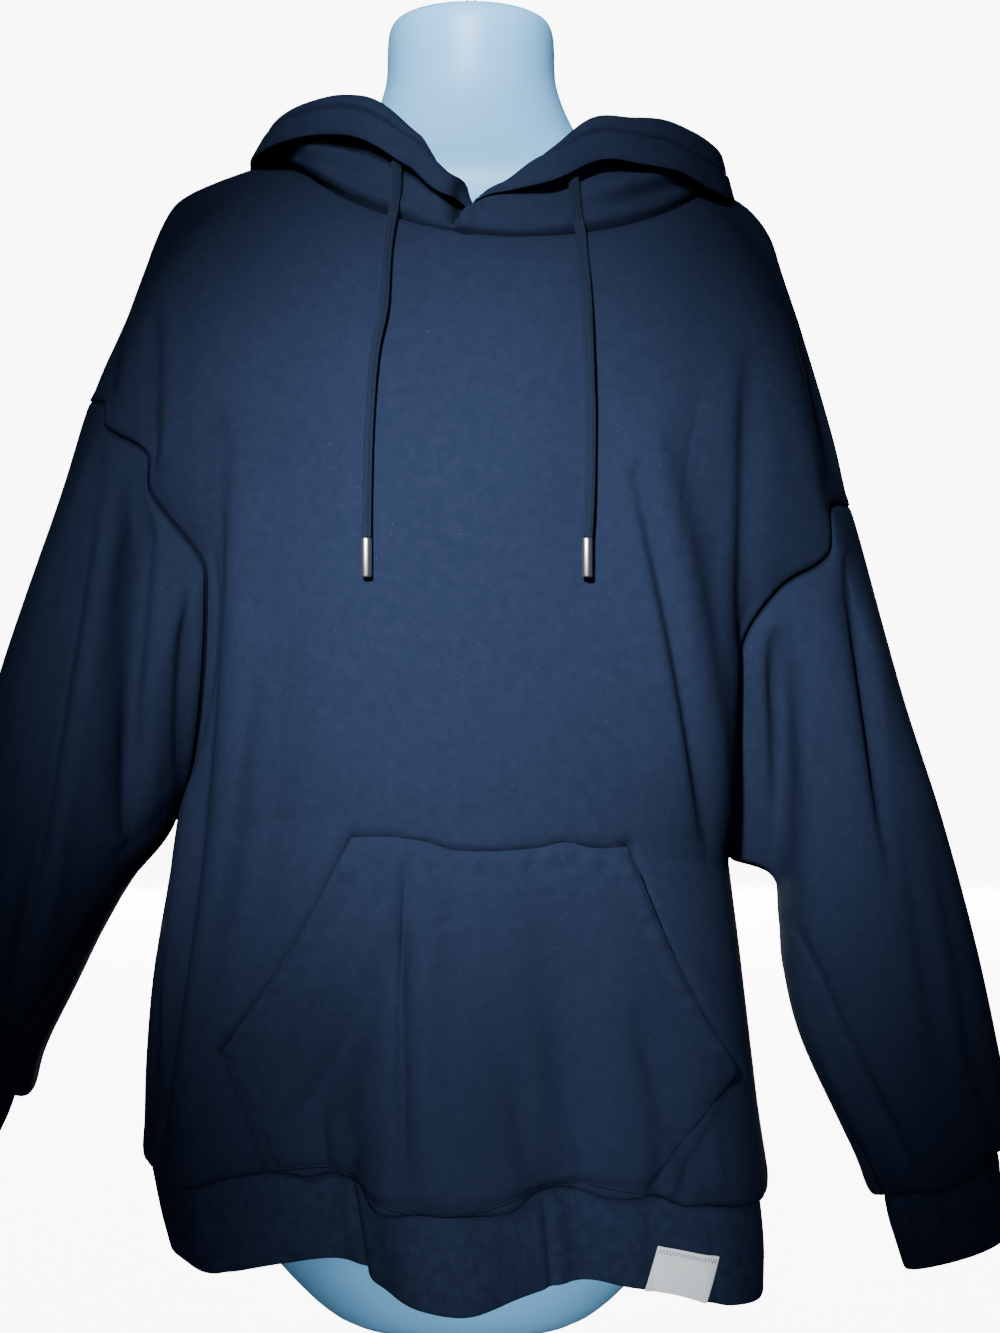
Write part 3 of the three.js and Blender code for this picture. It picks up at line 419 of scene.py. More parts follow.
def braid(far, angle):
    """Half widths of a slightly flat cord with lengthwise ridges that a braid's pitch breaks up."""
    turn = 2 * np.pi * far / BRAID_PITCH
    high = BRAID_HIGH * np.cos(CORD_STRANDS * angle) * (1 + 0.35 * np.cos(turn + CORD_STRANDS / 2 * angle))
    return CORD_WIDE / 2 - 0.1 + high, CORD_THICK / 2 - 0.1 + high


CORD_MATERIAL = cloth_material("cord", CORD_NAVY, CORD_NAVY, 0.1, 0.9)
cords = {}
cord_lines = {}
for hand, route in CORD_ROUTE.items():
    line, even = smooth_route(route, 1.1)
    cord = tube(f"{hand}_drawcord_braid", line, braid, 42)
    finish_piece(cord, CORD_MATERIAL, "cord", f"{hand}_drawcord")
    cords[hand], cord_lines[hand] = cord, (line, float(even[-1]))
    print(hand, "cord is", round(float(even[-1])), "mm long")

# %% [markdown]
# ## The cord tips
# Each cord ends in a turned metal sleeve, crimped over the braid. A profile turned round an upright
# axis makes it, with a small round at both ends so that it catches a highlight as the real one does.

# %% Cord tips
TIP_LONG = 24
TIP_RADIUS = 3.3
TIP_GAP = 0.3
TIP_PROFILE = rows(
    "up share",
    (0.0, 0.0),
    (0.0, 0.86),
    (0.2, 0.95),
    (0.8, 1.0),
    (23.2, 1.0),
    (23.8, 0.95),
    (24.0, 0.88),
    (24.0, 0.0),
)


def turned(name, centre, up, radius, sides=48):
    """A solid turned round an upright axis."""
    angle = np.arange(sides) / sides * 2 * np.pi
    ring = np.stack([np.cos(angle), np.sin(angle), np.zeros(sides)], 1)
    shape = ring[None] * np.asarray(radius)[:, None, None]
    shape = shape + point(0, 0, np.asarray(up))[:, None] + np.asarray(centre)
    index = np.arange(shape.shape[0] * sides).reshape(-1, sides)
    faces = [list(f) for f in quads(index, True)] + [list(index[0][::-1]), list(index[-1])]
    return mesh_object(name, shape.reshape(-1, 3), faces)


TIP_MATERIAL, tip_shader = new_material("tip_metal", (0.78, 0.78, 0.77), 0.3, 1.0)
bump(TIP_MATERIAL.node_tree, tip_shader, noise(TIP_MATERIAL.node_tree, 300, 2, (1, 1, 0.02)), 0.15, 0.0002)
for hand, (line, length) in cord_lines.items():
    foot = line[-1] - (0, 0, TIP_GAP + TIP_LONG)
    share = np.maximum(TIP_PROFILE["share"], 0.02)
    tip = turned(f"{hand}_tip_sleeve", foot, TIP_PROFILE["up"], share * TIP_RADIUS)
    finish_piece(tip, TIP_MATERIAL, "tip_metal", f"{hand}_cord_tip")

# %% [markdown]
# ## The torso form
# A moulded torso form is one smooth shape with a plain neck and a flat base. Rings of ellipses
# from a short table give it, with rows close enough together that no facet shows on the neck.

# %% Torso form
FORM = rows(
    "z wide deep middle",
    (0, 78, 58, -5),
    (5, 88, 65, -5),
    (18, 104, 75, -5),
    (44, 128, 87, -5),
    (79, 149, 96, -5),
    (129, 160, 100, -5),
    (214, 160, 100, -5),
    (314, 148, 94, -5),
    (384, 144, 91, -5),
    (474, 152, 95, -5),
    (554, 168, 99, -5),
    (614, 182, 94, -5),
    (654, 192, 84, -3),
    (687, 196, 72, -2),
    (708, 193, 61, -2),
    (724, 182, 52, -1),
    (736.4, 167, 46, 1),
    (746.4, 148, 43, 2),
    (755.2, 126, 42, 2),
    (764, 104, 43, 1),
    (774, 86, 46, 0),
    (785, 74, 49, 0),
    (798, 66, 52, 0),
    (812, 60, 54.5, 0),
    (826, 56.5, 55.5, 0),
    (851, 55.5, 55.5, 0),
    (861, 53, 53, 0),
    (866, 47, 47, 0),
    (869, 34, 34, 0),
    (870.5, 16, 16, 0),
)
FORM_TOP = 871
FORM_SIDES = 120

FORM_MATERIAL, form_shader = new_material("form_plastic", FORM_WHITE, 0.42)
form_shader.inputs["Specular IOR Level"].default_value = 0.4
form_shader.inputs["Subsurface Weight"].default_value = 0.06
form_shader.inputs["Subsurface Radius"].default_value = (0.004, 0.004, 0.005)

heights = np.unique(np.concatenate([np.linspace(a, b, 6) for a, b in zip(FORM["z"], FORM["z"][1:])]))
angle = np.arange(FORM_SIDES) / FORM_SIDES * 2 * np.pi
wide, deep, middle = (read(FORM, "z", heights, name)[:, None] for name in ("wide", "deep", "middle"))
grid = point(middle + np.sin(angle) * wide, -np.cos(angle) * deep, heights[:, None])
cap = np.zeros((1, FORM_SIDES, 3)) + (0, 0, FORM_TOP)
index = np.arange((len(heights) + 1) * FORM_SIDES).reshape(-1, FORM_SIDES)
form_faces = [list(f) for f in quads(index, True)] + [list(index[0][::-1])]
form = mesh_object("torso_form_body", np.concatenate([grid, cap]).reshape(-1, 3), form_faces)
finish_piece(form, FORM_MATERIAL, "form_plastic", "torso_form")

# %% [markdown]
# ## The wire loop
# A thin wire loop on top of the neck lets the form be hung. The photograph shows only its two close
# legs, so the eye above them is a plain guess.

# %% Wire loop
LOOP_ROUTE = [
    (-2.8, 0, 871.3),
    (-2.8, 0, 881.5),
    (-5.5, 0, 892.38),
    (-4.125, 0, 901.9),
    (0, 0, 905.3),
    (4.125, 0, 901.9),
    (5.5, 0, 892.38),
    (2.8, 0, 881.5),
    (2.8, 0, 871.3),
]
LOOP_WIRE = 1.6

LOOP_MATERIAL, _ = new_material("loop_wire", (0.16, 0.17, 0.18), 0.4, 1.0)
loop_line, _ = smooth_route(LOOP_ROUTE, 0.5)
loop = tube("wire_loop", loop_line, lambda far, angle: (LOOP_WIRE / 2 + 0 * far,) * 2, 14)
finish_piece(loop, LOOP_MATERIAL, "loop_wire", "hanging_loop")

# %% [markdown]
# ## The body's shape
# The front and back panels hang from the shoulders and hug the form only there. Below the armpits
# they make one loose tube, whose half girths and heights are a table, with long soft waves near the
# hem where the tight band gathers the cloth.

# %% Body tables
BODY = rows(
    "up left right front back leftZ rightZ frontZ backZ",
    (0, -212, 192, -130, 124, 107, 83, 114, 102),
    (0.09, -214, 195, -138, 132, 125, 102, 132, 122),
    (0.35, -215, 190, -131, 126, 176, 150, 184, 178),
    (0.7, -208, 180, -127, 120, 260, 238, 264, 262),
    (1, -196, 172, -122, 114, 330, 304, 332, 332),
)
HEM_WAVES = rows(
    "side across wide out",
    (-1, 0, 0.095, 27),
    (-1, -0.12, 0.085, 26),
    (-1, -0.23, 0.19, -20),
    (-1, 0.25, 0.09, -15),
    (-1, 0.37, 0.11, -8),
    (-1, 0.48, 0.1, -8),
    (-1, -0.6, 0.11, 8),
    (1, -0.42, 0.14, -14),
    (1, -0.12, 0.15, 9),
    (1, 0.2, 0.14, -15),
    (1, 0.55, 0.14, 8),
)
WAVE_DIP = 0.42
WAVE_TOP = 0.95
LOWER_ROWS = 9
UPPER_ROWS = 12


def wave_at(side, across):
    out = 0 * across
    for s, at, wide, high in zip(*(HEM_WAVES[k] for k in ("side", "across", "wide", "out"))):
        if s == side:
            out = out + high * np.exp(-(((across - at) / wide) ** 2))
    return out


def tube_point(table, side, across, up, wave_share, dip_share):
    """Places on the body tube or the band; side is -1 in front and 1 behind."""
    get = lambda name: read(table, "up", up, name)
    angle = across * np.pi / 2
    share = (np.sin(angle) + 1) / 2
    facing = np.maximum(np.cos(angle), 0)
    depth, middle = (get("front"), get("frontZ")) if side < 0 else (get("back"), get("backZ"))
    wave = wave_at(side, across) * wave_share
    lift = (middle - (get("leftZ") + get("rightZ")) / 2) * facing**2
    x = mix(get("left"), get("right"), share) + wave * 0.25 * np.sin(angle)
    y = depth * facing**0.8 + side * wave * np.minimum(1, facing * 3)
    z = mix(get("leftZ"), get("rightZ"), share) + lift - wave * WAVE_DIP * dip_share
    return point(x, y, z)


# %% Neckline, shoulders and armholes
NECK = {"middle": 22, "half": 134, "front": 88, "back": 80, "leftZ": 765, "rightZ": 752, "dip": 52.5, "rise": 15}
NECK_DIP_POWER = 1.45
SHOULDER = {
    "left": rows(
        "at x y z",
        (0, -112, 0, 765),
        (0.09, -133, 2, 770),
        (0.21, -160, 4, 763),
        (0.35, -195, 6, 748),
        (0.47, -209, 7, 728),
        (0.67, -226, 8, 683),
        (0.85, -243, 8, 646),
        (1, -257, 8, 613),
    ),
    "right": rows(
        "at x y z",
        (0, 156, 0, 752),
        (0.08, 175, 3, 749),
        (0.16, 191, 5, 737),
        (0.25, 203, 6, 719),
        (0.34, 209, 7, 697),
        (0.46, 219, 8, 670),
        (0.61, 230, 8, 636),
        (0.81, 244, 8, 589),
        (1, 255, 8, 543),
    ),
}
ARMHOLE = {
    "left": {
        "front": rows(
            "at x y z",
            (0, -196, 0, 330),
            (0.13, -183, -22, 369),
            (0.3, -174, -42, 424),
            (0.48, -170, -56, 488),
            (0.53, -173, -57, 503),
            (0.66, -206, -55, 546),
            (0.73, -209, -52, 571),
            (0.85, -239, -36, 591),
            (0.9, -242, -26, 607),
            (1, -257, 8, 613),
        ),
        "back": rows(
            "at x y z",
            (0, -196, 0, 330),
            (0.13, -188, 24, 369),
            (0.3, -182, 46, 424),
            (0.51, -182, 62, 495),
            (0.72, -212, 62, 561),
            (0.88, -240, 40, 600),
            (1, -257, 8, 613),
        ),
    },
    "right": {
        "front": rows(
            "at x y z",
            (0, 172, 0, 304),
            (0.17, 174, -25, 349),
            (0.36, 174, -45, 404),
            (0.51, 176, -57, 449),
            (0.64, 200, -57, 484),
            (0.79, 234, -42, 507),
            (0.88, 237, -30, 537),
            (1, 255, 8, 543),
        ),
        "back": rows(
            "at x y z",
            (0, 172, 0, 304),
            (0.17, 173, 25, 349),
            (0.36, 176, 47, 404),
            (0.54, 187, 63, 459),
            (0.7, 216, 61, 494),
            (0.82, 240, 44, 516),
            (1, 255, 8, 543),
        ),
    },
}
TOP_SAMPLES = 12
TOP_SOFTNESS = 0.6
SIGN = {"left": -1, "right": 1}


def neck_point(side, degrees):
    angle = np.radians(degrees)
    facing = np.maximum(np.cos(angle), 0)
    ends = mix(NECK["leftZ"], NECK["rightZ"], (np.sin(angle) + 1) / 2)
    height = -NECK["dip"] * facing**NECK_DIP_POWER if side < 0 else NECK["rise"] * facing**2
    depth = -NECK["front"] * facing if side < 0 else NECK["back"] * facing
    return point(NECK["middle"] + NECK["half"] * np.sin(angle), depth, ends + height)


def read_point(table, t):
    return point(*(read(table, "at", t, name) for name in "xyz"))


def top_point(side, across, share):
    out = np.clip((np.abs(across) - share) / (1 - share), 0, 1)
    seam = np.where((across < 0)[..., None], read_point(SHOULDER["left"], out), read_point(SHOULDER["right"], out))
    neck = neck_point(side, np.clip(across / share, -1, 1) * 90)
    return np.where((np.abs(across) <= share)[..., None], neck, seam)


def soft_top_point(side, across, share):
    half = TOP_SAMPLES // 2
    total = 0
    for k in range(-half, half + 1):
        reach = k / half * TOP_SOFTNESS * (1 - np.abs(across))
        total = total + top_point(side, np.clip(across + reach, -1, 1), share)
    return total / (2 * half + 1)


def armhole_point(hand, side, up):
    return read_point(ARMHOLE[hand]["front" if side < 0 else "back"], up)


# %% [markdown]
# ## Folds
# Long soft folds run from the shoulders and the armpits. Each is a row in a table: a line in front
# view, how wide it is, how far it pushes the cloth in, and, in the table of creases, how much it
# bows. The hidden back has a few of the same kind. The short puckers above the band and the cuffs
# come from a function further on, not from a table.

# %% Fold table
FOLDS = rows(
    "piece side x0 z0 x1 z1 wide in",
    ("left", -1, -214, 594, -226, 334, 15, 14),
    ("left", -1, -262, 514, -300, 284, 16, 11),
    ("left", 1, -222, 554, -246, 344, 16, 13),
    ("right", -1, 238, 514, 262, 354, 14, 9),
    ("right", -1, 196, 454, 206, 316, 12, 11),
    ("right", 1, 212, 474, 246, 284, 16, 13),
    ("front", -1, 112, 574, 150, 334, 24, -9),
    ("front", -1, -120, 554, -140, 194, 26, 8),
    ("back", 1, -110, 574, -130, 214, 28, 11),
    ("back", 1, 96, 574, 110, 214, 28, 11),
)
CREASES = rows(
    "piece side x0 z0 x1 z1 bow wide in",
    ("front", -1, 104, 552, 152, 325, 2, 7, 7.5),
    ("front", -1, 121, 560, 166, 330, 2, 14, -4.0),
    ("front", -1, 178, 625, 176, 452, -2, 9, 5.0),
    ("front", -1, 206, 660, 228, 560, 0, 11, -2.5),
    ("front", -1, 222, 660, 240, 560, 0, 9, 2.0),
    ("front", -1, -238, 700, -241, 600, 0, 7, 5.0),
    ("front", -1, -204, 660, -208, 552, 0, 7, 5.5),
    ("front", -1, -192, 660, -194, 545, 0, 9, -3.5),
        ("front", -1, -134, 452, -186, 150, 4, 12, -6.5),
    ("front", -1, -160, 580, -200, 150, 3, 8.5, 11.0),
    ("front", -1, -116, 430, -142, 270, 3, 13, 4.0),
    ("front", -1, -30, 690, -8, 560, 6, 30, 2.0),
    ("front", -1, 70, 660, 84, 480, -4, 26, 2.5),
    ("front", -1, -100, 650, -118, 480, 4, 26, 2.5),
    ("front", -1, -39, 306, -37, 118, -2, 6, 7.5),
    ("front", -1, -24, 300, -24, 118, -2, 12, -4.0),
    ("front", -1, -46, 262, -108, 150, 4, 13, 9.0),
    ("front", -1, -80, 262, -140, 170, 2, 16, -4.0),
    ("front", -1, 44, 290, 56, 120, 5, 22, 3.5),
    ("front", -1, 104, 216, 132, 118, 0, 12, 4.0),
    ("front", -1, 24, 190, 30, 112, 3, 10, 2.5),
    ("front", -1, -197, 420, -207, 130, -3, 3.5, 4.5),
    ("front", -1, -187, 300, -197, 112, -3, 4.0, 3.5),
    ("front", -1, -92, 150, -84, 118, 3, 5, 3.5),
    ("front", -1, -62, 146, -70, 116, -3, 5, 3.0),
    ("front", -1, 66, 140, 74, 108, -3, 5, 3.0),
    ("front", -1, 92, 132, 86, 104, 3, 5, 3.0),
    ("front", -1, 138, 128, 128, 104, 3, 6, 2.5),
    ("back", 1, -60, 560, -84, 300, 6, 13, 5.0),
    ("back", 1, 30, 540, 52, 280, -6, 15, 5.0),
    ("back", 1, 140, 560, 160, 330, -4, 9, 5.5),
    ("back", 1, -150, 560, -174, 330, 4, 9, 5.5),
    ("back", 1, -30, 300, -36, 118, 4, 10, 5.0),
    ("back", 1, 80, 280, 96, 116, 4, 12, 5.0),
    ("back", 1, -120, 280, -150, 130, 4, 12, 5.0),
    ("left", -1, -241, 600, -298, 205, 4, 7, 8.5),
    ("left", -1, -228, 560, -282, 225, 4, 12, -4.0),
    ("left", -1, -208, 550, -224, 325, -2, 6, 8.0),
    ("left", -1, -194, 540, -208, 340, -2, 9, -3.0),
    ("left", -1, -176, 500, -190, 345, -3, 7, 5.5),
    ("left", -1, -184, 358, -230, 312, 3, 3.2, 4.0),
    ("left", -1, -244, 273, -298, 186, 2, 3.0, 3.6),
    ("left", -1, -286, 500, -322, 260, -4, 12, 5.0),
    ("left", -1, -318, 380, -346, 230, -4, 9, 4.0),
    ("left", 1, -250, 520, -290, 280, -5, 9, 5.5),
    ("left", 1, -300, 400, -336, 200, 5, 9, 5.0),
    ("left", 1, -220, 400, -276, 230, 5, 8, 5.0),
    ("right", -1, 236, 500, 256, 345, -2, 9, -4.5),
    ("right", -1, 248, 505, 270, 300, -2, 7, 7.5),
    ("right", -1, 197, 452, 201, 285, 2, 7, 8.5),
    ("right", -1, 214, 440, 222, 250, -3, 12, -3.0),
    ("right", -1, 203, 287, 288, 104, -5, 3.0, 4.0),
    ("right", -1, 214, 250, 268, 130, -8, 9, 3.5),
    ("right", -1, 276, 420, 306, 170, -5, 13, 5.0),
    ("right", -1, 300, 330, 330, 140, 3, 9, 4.0),
    ("right", 1, 236, 470, 268, 250, 5, 9, 5.5),
    ("right", 1, 284, 380, 318, 160, -5, 9, 5.0),
    ("right", 1, 212, 380, 258, 190, -4, 8, 5.0),
)


FOLD_LEAN = 0.3


def push_in(table, piece, side, x, z, ends=(-0.25, 0.3, 0.75, 1.2)):
    """How far the folds of a table push one piece in."""
    push = 0 * x
    for i in range(len(table["side"])):
        if table["piece"][i] != piece or table["side"][i] != side:
            continue
        x0, z0, x1, z1, wide, deep = (table[k][i] for k in ("x0", "z0", "x1", "z1", "wide", "in"))
        dx, dz = x1 - x0, z1 - z0
        along = ((x - x0) * dx + (z - z0) * dz) / (dx * dx + dz * dz)
        near = np.clip(along, 0, 1)
        bow = table["bow"][i] * 4 * near * (1 - near) if "bow" in table else 0
        aside = x - x0 - near * dx - bow
        off = np.hypot(aside, z - z0 - near * dz)
        off = off / (1 + FOLD_LEAN * np.sign(aside) * np.sign(deep))
        fade = smooth(along, ends[0], ends[1]) * (1 - smooth(along, ends[2], ends[3]))
        push = push + deep * fade * np.exp(-((off / wide) ** 2))
    return push


def ripple(a, b, seed):
    """A gentle unevenness, as no cloth hangs quite flat."""
    turn = np.random.default_rng(seed).uniform(0, 6.28, 6)
    wave = np.sin(a / 31 + b / 67 + turn[0]) + np.sin(a / 53 - b / 41 + turn[1])
    wave = wave + 0.6 * np.sin(a / 17 + b / 90 + turn[2]) + 0.5 * np.sin(a / 83 + b / 23 + turn[3])
    return wave / 3.1


# %% [markdown]
# ## Front and back panels
# A grid runs up each panel from the band to the shoulders. Its lower part follows the loose tube
# and its upper part is drawn in to the armholes, which sit low because the shoulders are dropped.
# The lines are closer together near the edges, so that each seam can dip into a narrow groove.

# %% Panel points
SHOULDER_COLUMNS = 6
FRONT_COLUMNS = 26
NECK_SHARE = 1 - 2 * SHOULDER_COLUMNS / FRONT_COLUMNS


def drape_point(side, across, up):
    low = tube_point(BODY, side, across, 1.0 + 0 * across, 0, 0)
    top = top_point(side, across, NECK_SHARE)
    soft = soft_top_point(side, across, NECK_SHARE)
    dome = np.sqrt(np.maximum(0, 1 - up**3))
    out = mix(low, soft, up[..., None]) + (top - soft) * (up**4)[..., None]
    out[..., 1] = top[..., 1] + (low[..., 1] - top[..., 1]) * dome
    return out


def upper_point(side, across, up):
    out = drape_point(side, across, up)
    for hand, edge in SIGN.items():
        near = (1 + edge * across) / 2
        pull = armhole_point(hand, side, up) - drape_point(side, edge + 0 * across, up)
        out = out + pull * (near**3)[..., None]
    return out


def panel_point(side, across, row):
    across, row = np.broadcast_arrays(across, row)
    up = np.clip(row / LOWER_ROWS, 0, 1)
    lower = tube_point(BODY, side, across, up, 1 - smooth(up, 0, WAVE_TOP), 1 - up)
    up = 1 - (1 - np.clip((row - LOWER_ROWS) / UPPER_ROWS, 0, 1)) ** 1.35
    out = np.where((row <= LOWER_ROWS)[..., None], lower, upper_point(side, across, up))
    piece = "front" if side < 0 else "back"
    edge = smooth(1 - np.abs(across), 0, 0.3)
    out[..., 1] -= side * push_in(FOLDS, piece, side, out[..., 0], out[..., 2]) * edge
    return out


def spaced(start, end, count, close):
    """Numbers from start to end, with a few extra ones close to both ends."""
    extra = np.array([0.12, 0.3, 0.55]) * close
    inner = np.linspace(start, end, count)
    return np.unique(np.concatenate([inner, start + extra, end - extra]))


# %% Seam grooves and puckers
SEAM_DIP = 1.3
SEAM_WIDE = 2.6


def groove(distance, deep=SEAM_DIP, wide=SEAM_WIDE):
    return deep * np.exp(-((distance / wide) ** 2))


def pucker(around, distance, seed, count, deep, reach):
    """Short gathers beside a tight rib, uneven in height and length."""
    turn = np.random.default_rng(seed).uniform(0, 6.28, 4)
    a = around * 2 * np.pi
    wave = np.sin(count * a + turn[0]) + 0.7 * np.sin((count * 1.7) * a + turn[1])
    size = 0.6 + 0.4 * np.sin(3 * a + turn[2])
    rise = (distance / 5) * np.exp(1 - distance / reach) / np.maximum(reach / 5, 1)
    return deep * wave / 1.7 * size * np.clip(rise, 0, 1)


# %% Blousing over the band
GATHERS = rows(
    "side across out wide",
    (-1, -0.290, 9.0, 0.075),
    (-1, -0.117, 8.0, 0.036),
    (-1, 0.092, 9.0, 0.050),
    (-1, 0.319, 10.0, 0.105),
    (-1, 0.510, 7.0, 0.055),
    (-1, -0.62, 5.0, 0.060),
    (1, -0.50, 8.0, 0.070),
    (1, -0.15, 8.0, 0.060),
    (1, 0.24, 9.0, 0.070),
    (1, 0.60, 7.0, 0.060),
)
BLOUSE_OUT = 3.0
BLOUSE_UP = 7.0
BLOUSE_SAG = 0.75


def rise_and_fade(distance, up):
    """0 on the seam, 1 at a height up above it, and soon 0 again."""
    high = distance / up
    return high * np.exp(1 - high)


def blouse(side, across, distance):
    """How far the cloth bags out above the band, most at the gathers."""
    size = BLOUSE_OUT + 0 * across
    for i in range(len(GATHERS["side"])):
        if GATHERS["side"][i] == side:
            size = size + GATHERS["out"][i] * np.exp(
                -(((across - GATHERS["across"][i]) / GATHERS["wide"][i]) ** 2)
            )
    return size * rise_and_fade(distance, BLOUSE_UP)


def evened(grid, keep, times):
    """Evens out a grid along its rows, where keep is 0."""
    for _ in range(times):
        padded = np.pad(grid, ((0, 0), (1, 1), (0, 0)), mode="edge")
        grid = mix((padded[:, :-2] + 2 * padded[:, 1:-1] + padded[:, 2:]) / 4, grid, keep[..., None])
    return grid


# %% The pocket's place
POCKET = {
    "topLeft": (-72, 328),
    "topRight": (98, 321),
    "rightCorner": (171, 173),
    "rightFoot": (128, 74),
    "leftFoot": (-128, 74),
    "leftCorner": (-154, 193),
    "mouthBow": 9,
}
POCKET_FOOT = {"left": (-119.0, 104.0), "right": (110.0, 86.0)}
POCKET_LINE = [
    POCKET_FOOT["left"],
    POCKET["leftCorner"],
    POCKET["topLeft"],
    POCKET["topRight"],
    POCKET["rightCorner"],
    POCKET_FOOT["right"],
]


def mouth_line(low, high, bow):
    """Points along a hand opening, which bows a little between its two ends."""
    along = np.linspace(0, 1, 9)
    arc = 2 * along * (1 - along)
    z = mix(low[1], high[1], along) - POCKET["mouthBow"] * arc
    return list(zip(mix(low[0], high[0], along) + bow * arc, z))


def outline_distance(x, z, outline):
    """How far points of a front view are from a line through some others."""
    best = np.full(x.shape, 1e9)
    for (x0, z0), (x1, z1) in zip(outline, outline[1:]):
        dx, dz = x1 - x0, z1 - z0
        near = np.clip(((x - x0) * dx + (z - z0) * dz) / (dx * dx + dz * dz), 0, 1)
        best = np.minimum(best, np.hypot(x - x0 - near * dx, z - z0 - near * dz))
    return best


POCKET_TOP = rows(
    "at z",
    (0.0, 0.0),
    (0.13, 1.5),
    (0.27, -0.5),
    (0.36, -4.6),
    (0.50, -4.8),
    (0.67, -1.8),
    (0.78, 2.2),
    (0.88, -1.0),
    (1.0, 0.0),
)
LEFT_MOUTH = mouth_line(POCKET["leftCorner"], POCKET["topLeft"], POCKET["mouthBow"])
RIGHT_MOUTH = mouth_line(POCKET["rightCorner"], POCKET["topRight"], -POCKET["mouthBow"])
TOP_LINE = [
    (mix(POCKET["topLeft"][0], POCKET["topRight"][0], at), mix(POCKET["topLeft"][1], POCKET["topRight"][1], at) + z)
    for at, z in zip(POCKET_TOP["at"], POCKET_TOP["z"])
]


# Painted shadows on the band seam, where the cloth bags over the band: the middle of each, and how wide it is, in
# millimetres.
PAINTED_GATHER_SHADOWS = rows(
    "at wide",
    (-102, 26),
    (-42, 10),
    (26, 26),
    (126, 40),
)


def panel(side, seed, mouth_dip=4.6, top_dip=2.4):
    corners = [-NECK_SHARE, NECK_SHARE]
    across = np.unique(np.concatenate([spaced(-1, 1, 181, 0.012), corners]))[None, :] * (1 if side < 0 else -1)
    row = spaced(0, LOWER_ROWS + UPPER_ROWS, 200, 0.1)[:, None]
    grid = panel_point(side, across, row)
    low, high = edge_distance(grid, 0)
    start, end = edge_distance(grid, 1)
    edge = np.minimum(np.minimum(low, high), np.minimum(start, end))
    inside = smooth(np.minimum(start, end), 4, 40) * smooth(high, 2, 24) * (1 - smooth(high, 120, 200))
    grid = evened(grid, 1 - inside, 160)
    normal = grid_normals(grid, False)
    piece = "front" if side < 0 else "back"
    x, z = grid[..., 0], grid[..., 2]
    free = smooth(edge, 0, 25)
    wide_across = np.broadcast_to(across, x.shape)
    bag = blouse(side, wide_across, low) * smooth(np.minimum(start, end), 0, 12)
    relief = bag + 0.8 * ripple(x, z, seed) * free
    relief = relief + pucker(wide_across / 2, low, seed, 17, 1.5, 16) * smooth(np.minimum(start, end), 0, 20)
    relief = relief - push_in(CREASES, piece, side, x, z) * smooth(edge, 0, 14)
    corner = np.minimum(np.hypot(high, start), np.hypot(high, end))
    relief = relief - groove(edge) * smooth(corner, 0, 14)
    # Painted shade: darker in the bottoms of the seams along the edges and, on the front, beside the pocket's hand
    # openings, its top and its lower sides.
    painted_shade = groove(edge, 0.6, 1.6)
    if side < 0:
        mouths = np.minimum(outline_distance(x, z, LEFT_MOUTH), outline_distance(x, z, RIGHT_MOUTH))
        top = outline_distance(x, z, TOP_LINE)
        feet = np.minimum(outline_distance(x, z, POCKET_LINE[:2]), outline_distance(x, z, POCKET_LINE[4:]))
        relief = relief - np.maximum(groove(mouths, mouth_dip, 4.2), groove(top, top_dip, 3.5))
        painted_shade = np.maximum(painted_shade, np.maximum(groove(mouths, 0.9, 2.6), groove(top, 0.8, 2.2)))
        painted_shade = np.maximum(painted_shade, groove(feet, 0.35, 1.8))
        # Painted shadow on the band seam under the cloth that bags over it, at the places in the table.
        for at, wide in zip(PAINTED_GATHER_SHADOWS["at"], PAINTED_GATHER_SHADOWS["wide"]):
            painted_shade = np.maximum(painted_shade, groove(low, 0.95, 3.4) * np.exp(-(((x - at) / wide) ** 4)))
    outer = grid + normal * relief[..., None]
    outer[..., 2] -= BLOUSE_SAG * bag * np.exp(-low / 8)
    inner = outer - grid_normals(outer, False) * (FLEECE - 0.2)
    allowance = point(0, -side * 2.6, -5.0)
    outer = np.concatenate([outer[:1] + allowance, outer])
    return outer, np.concatenate([inner[:1] + allowance, inner]), np.concatenate([painted_shade[:1], painted_shade])


front_outer, front_inner, front_painted_shade = panel(-1, 11)
back_outer, back_inner, back_painted_shade = panel(1, 12)
front = shell("front_panel_cloth", front_outer, front_inner, painted_shade=front_painted_shade)
back = shell("back_panel_cloth", back_outer, back_inner, painted_shade=back_painted_shade)
finish_piece(front, FLEECE_MATERIAL, "fleece", "front_panel")
finish_piece(back, FLEECE_MATERIAL, "fleece", "back_panel")
print("front", round(grid_area(front_outer), 3), "and back", round(grid_area(back_outer), 3), "square metres")

# %% [markdown]
# ## Sleeves
# A dropped sleeve is one piece with a seam under the arm. It is a tube of rings that starts on the
# armhole and ends gathered into the cuff. The rings are ellipses between an outer and an inner
# fold, so the silhouette is exactly those two lines, and the creases are pressed in afterwards.

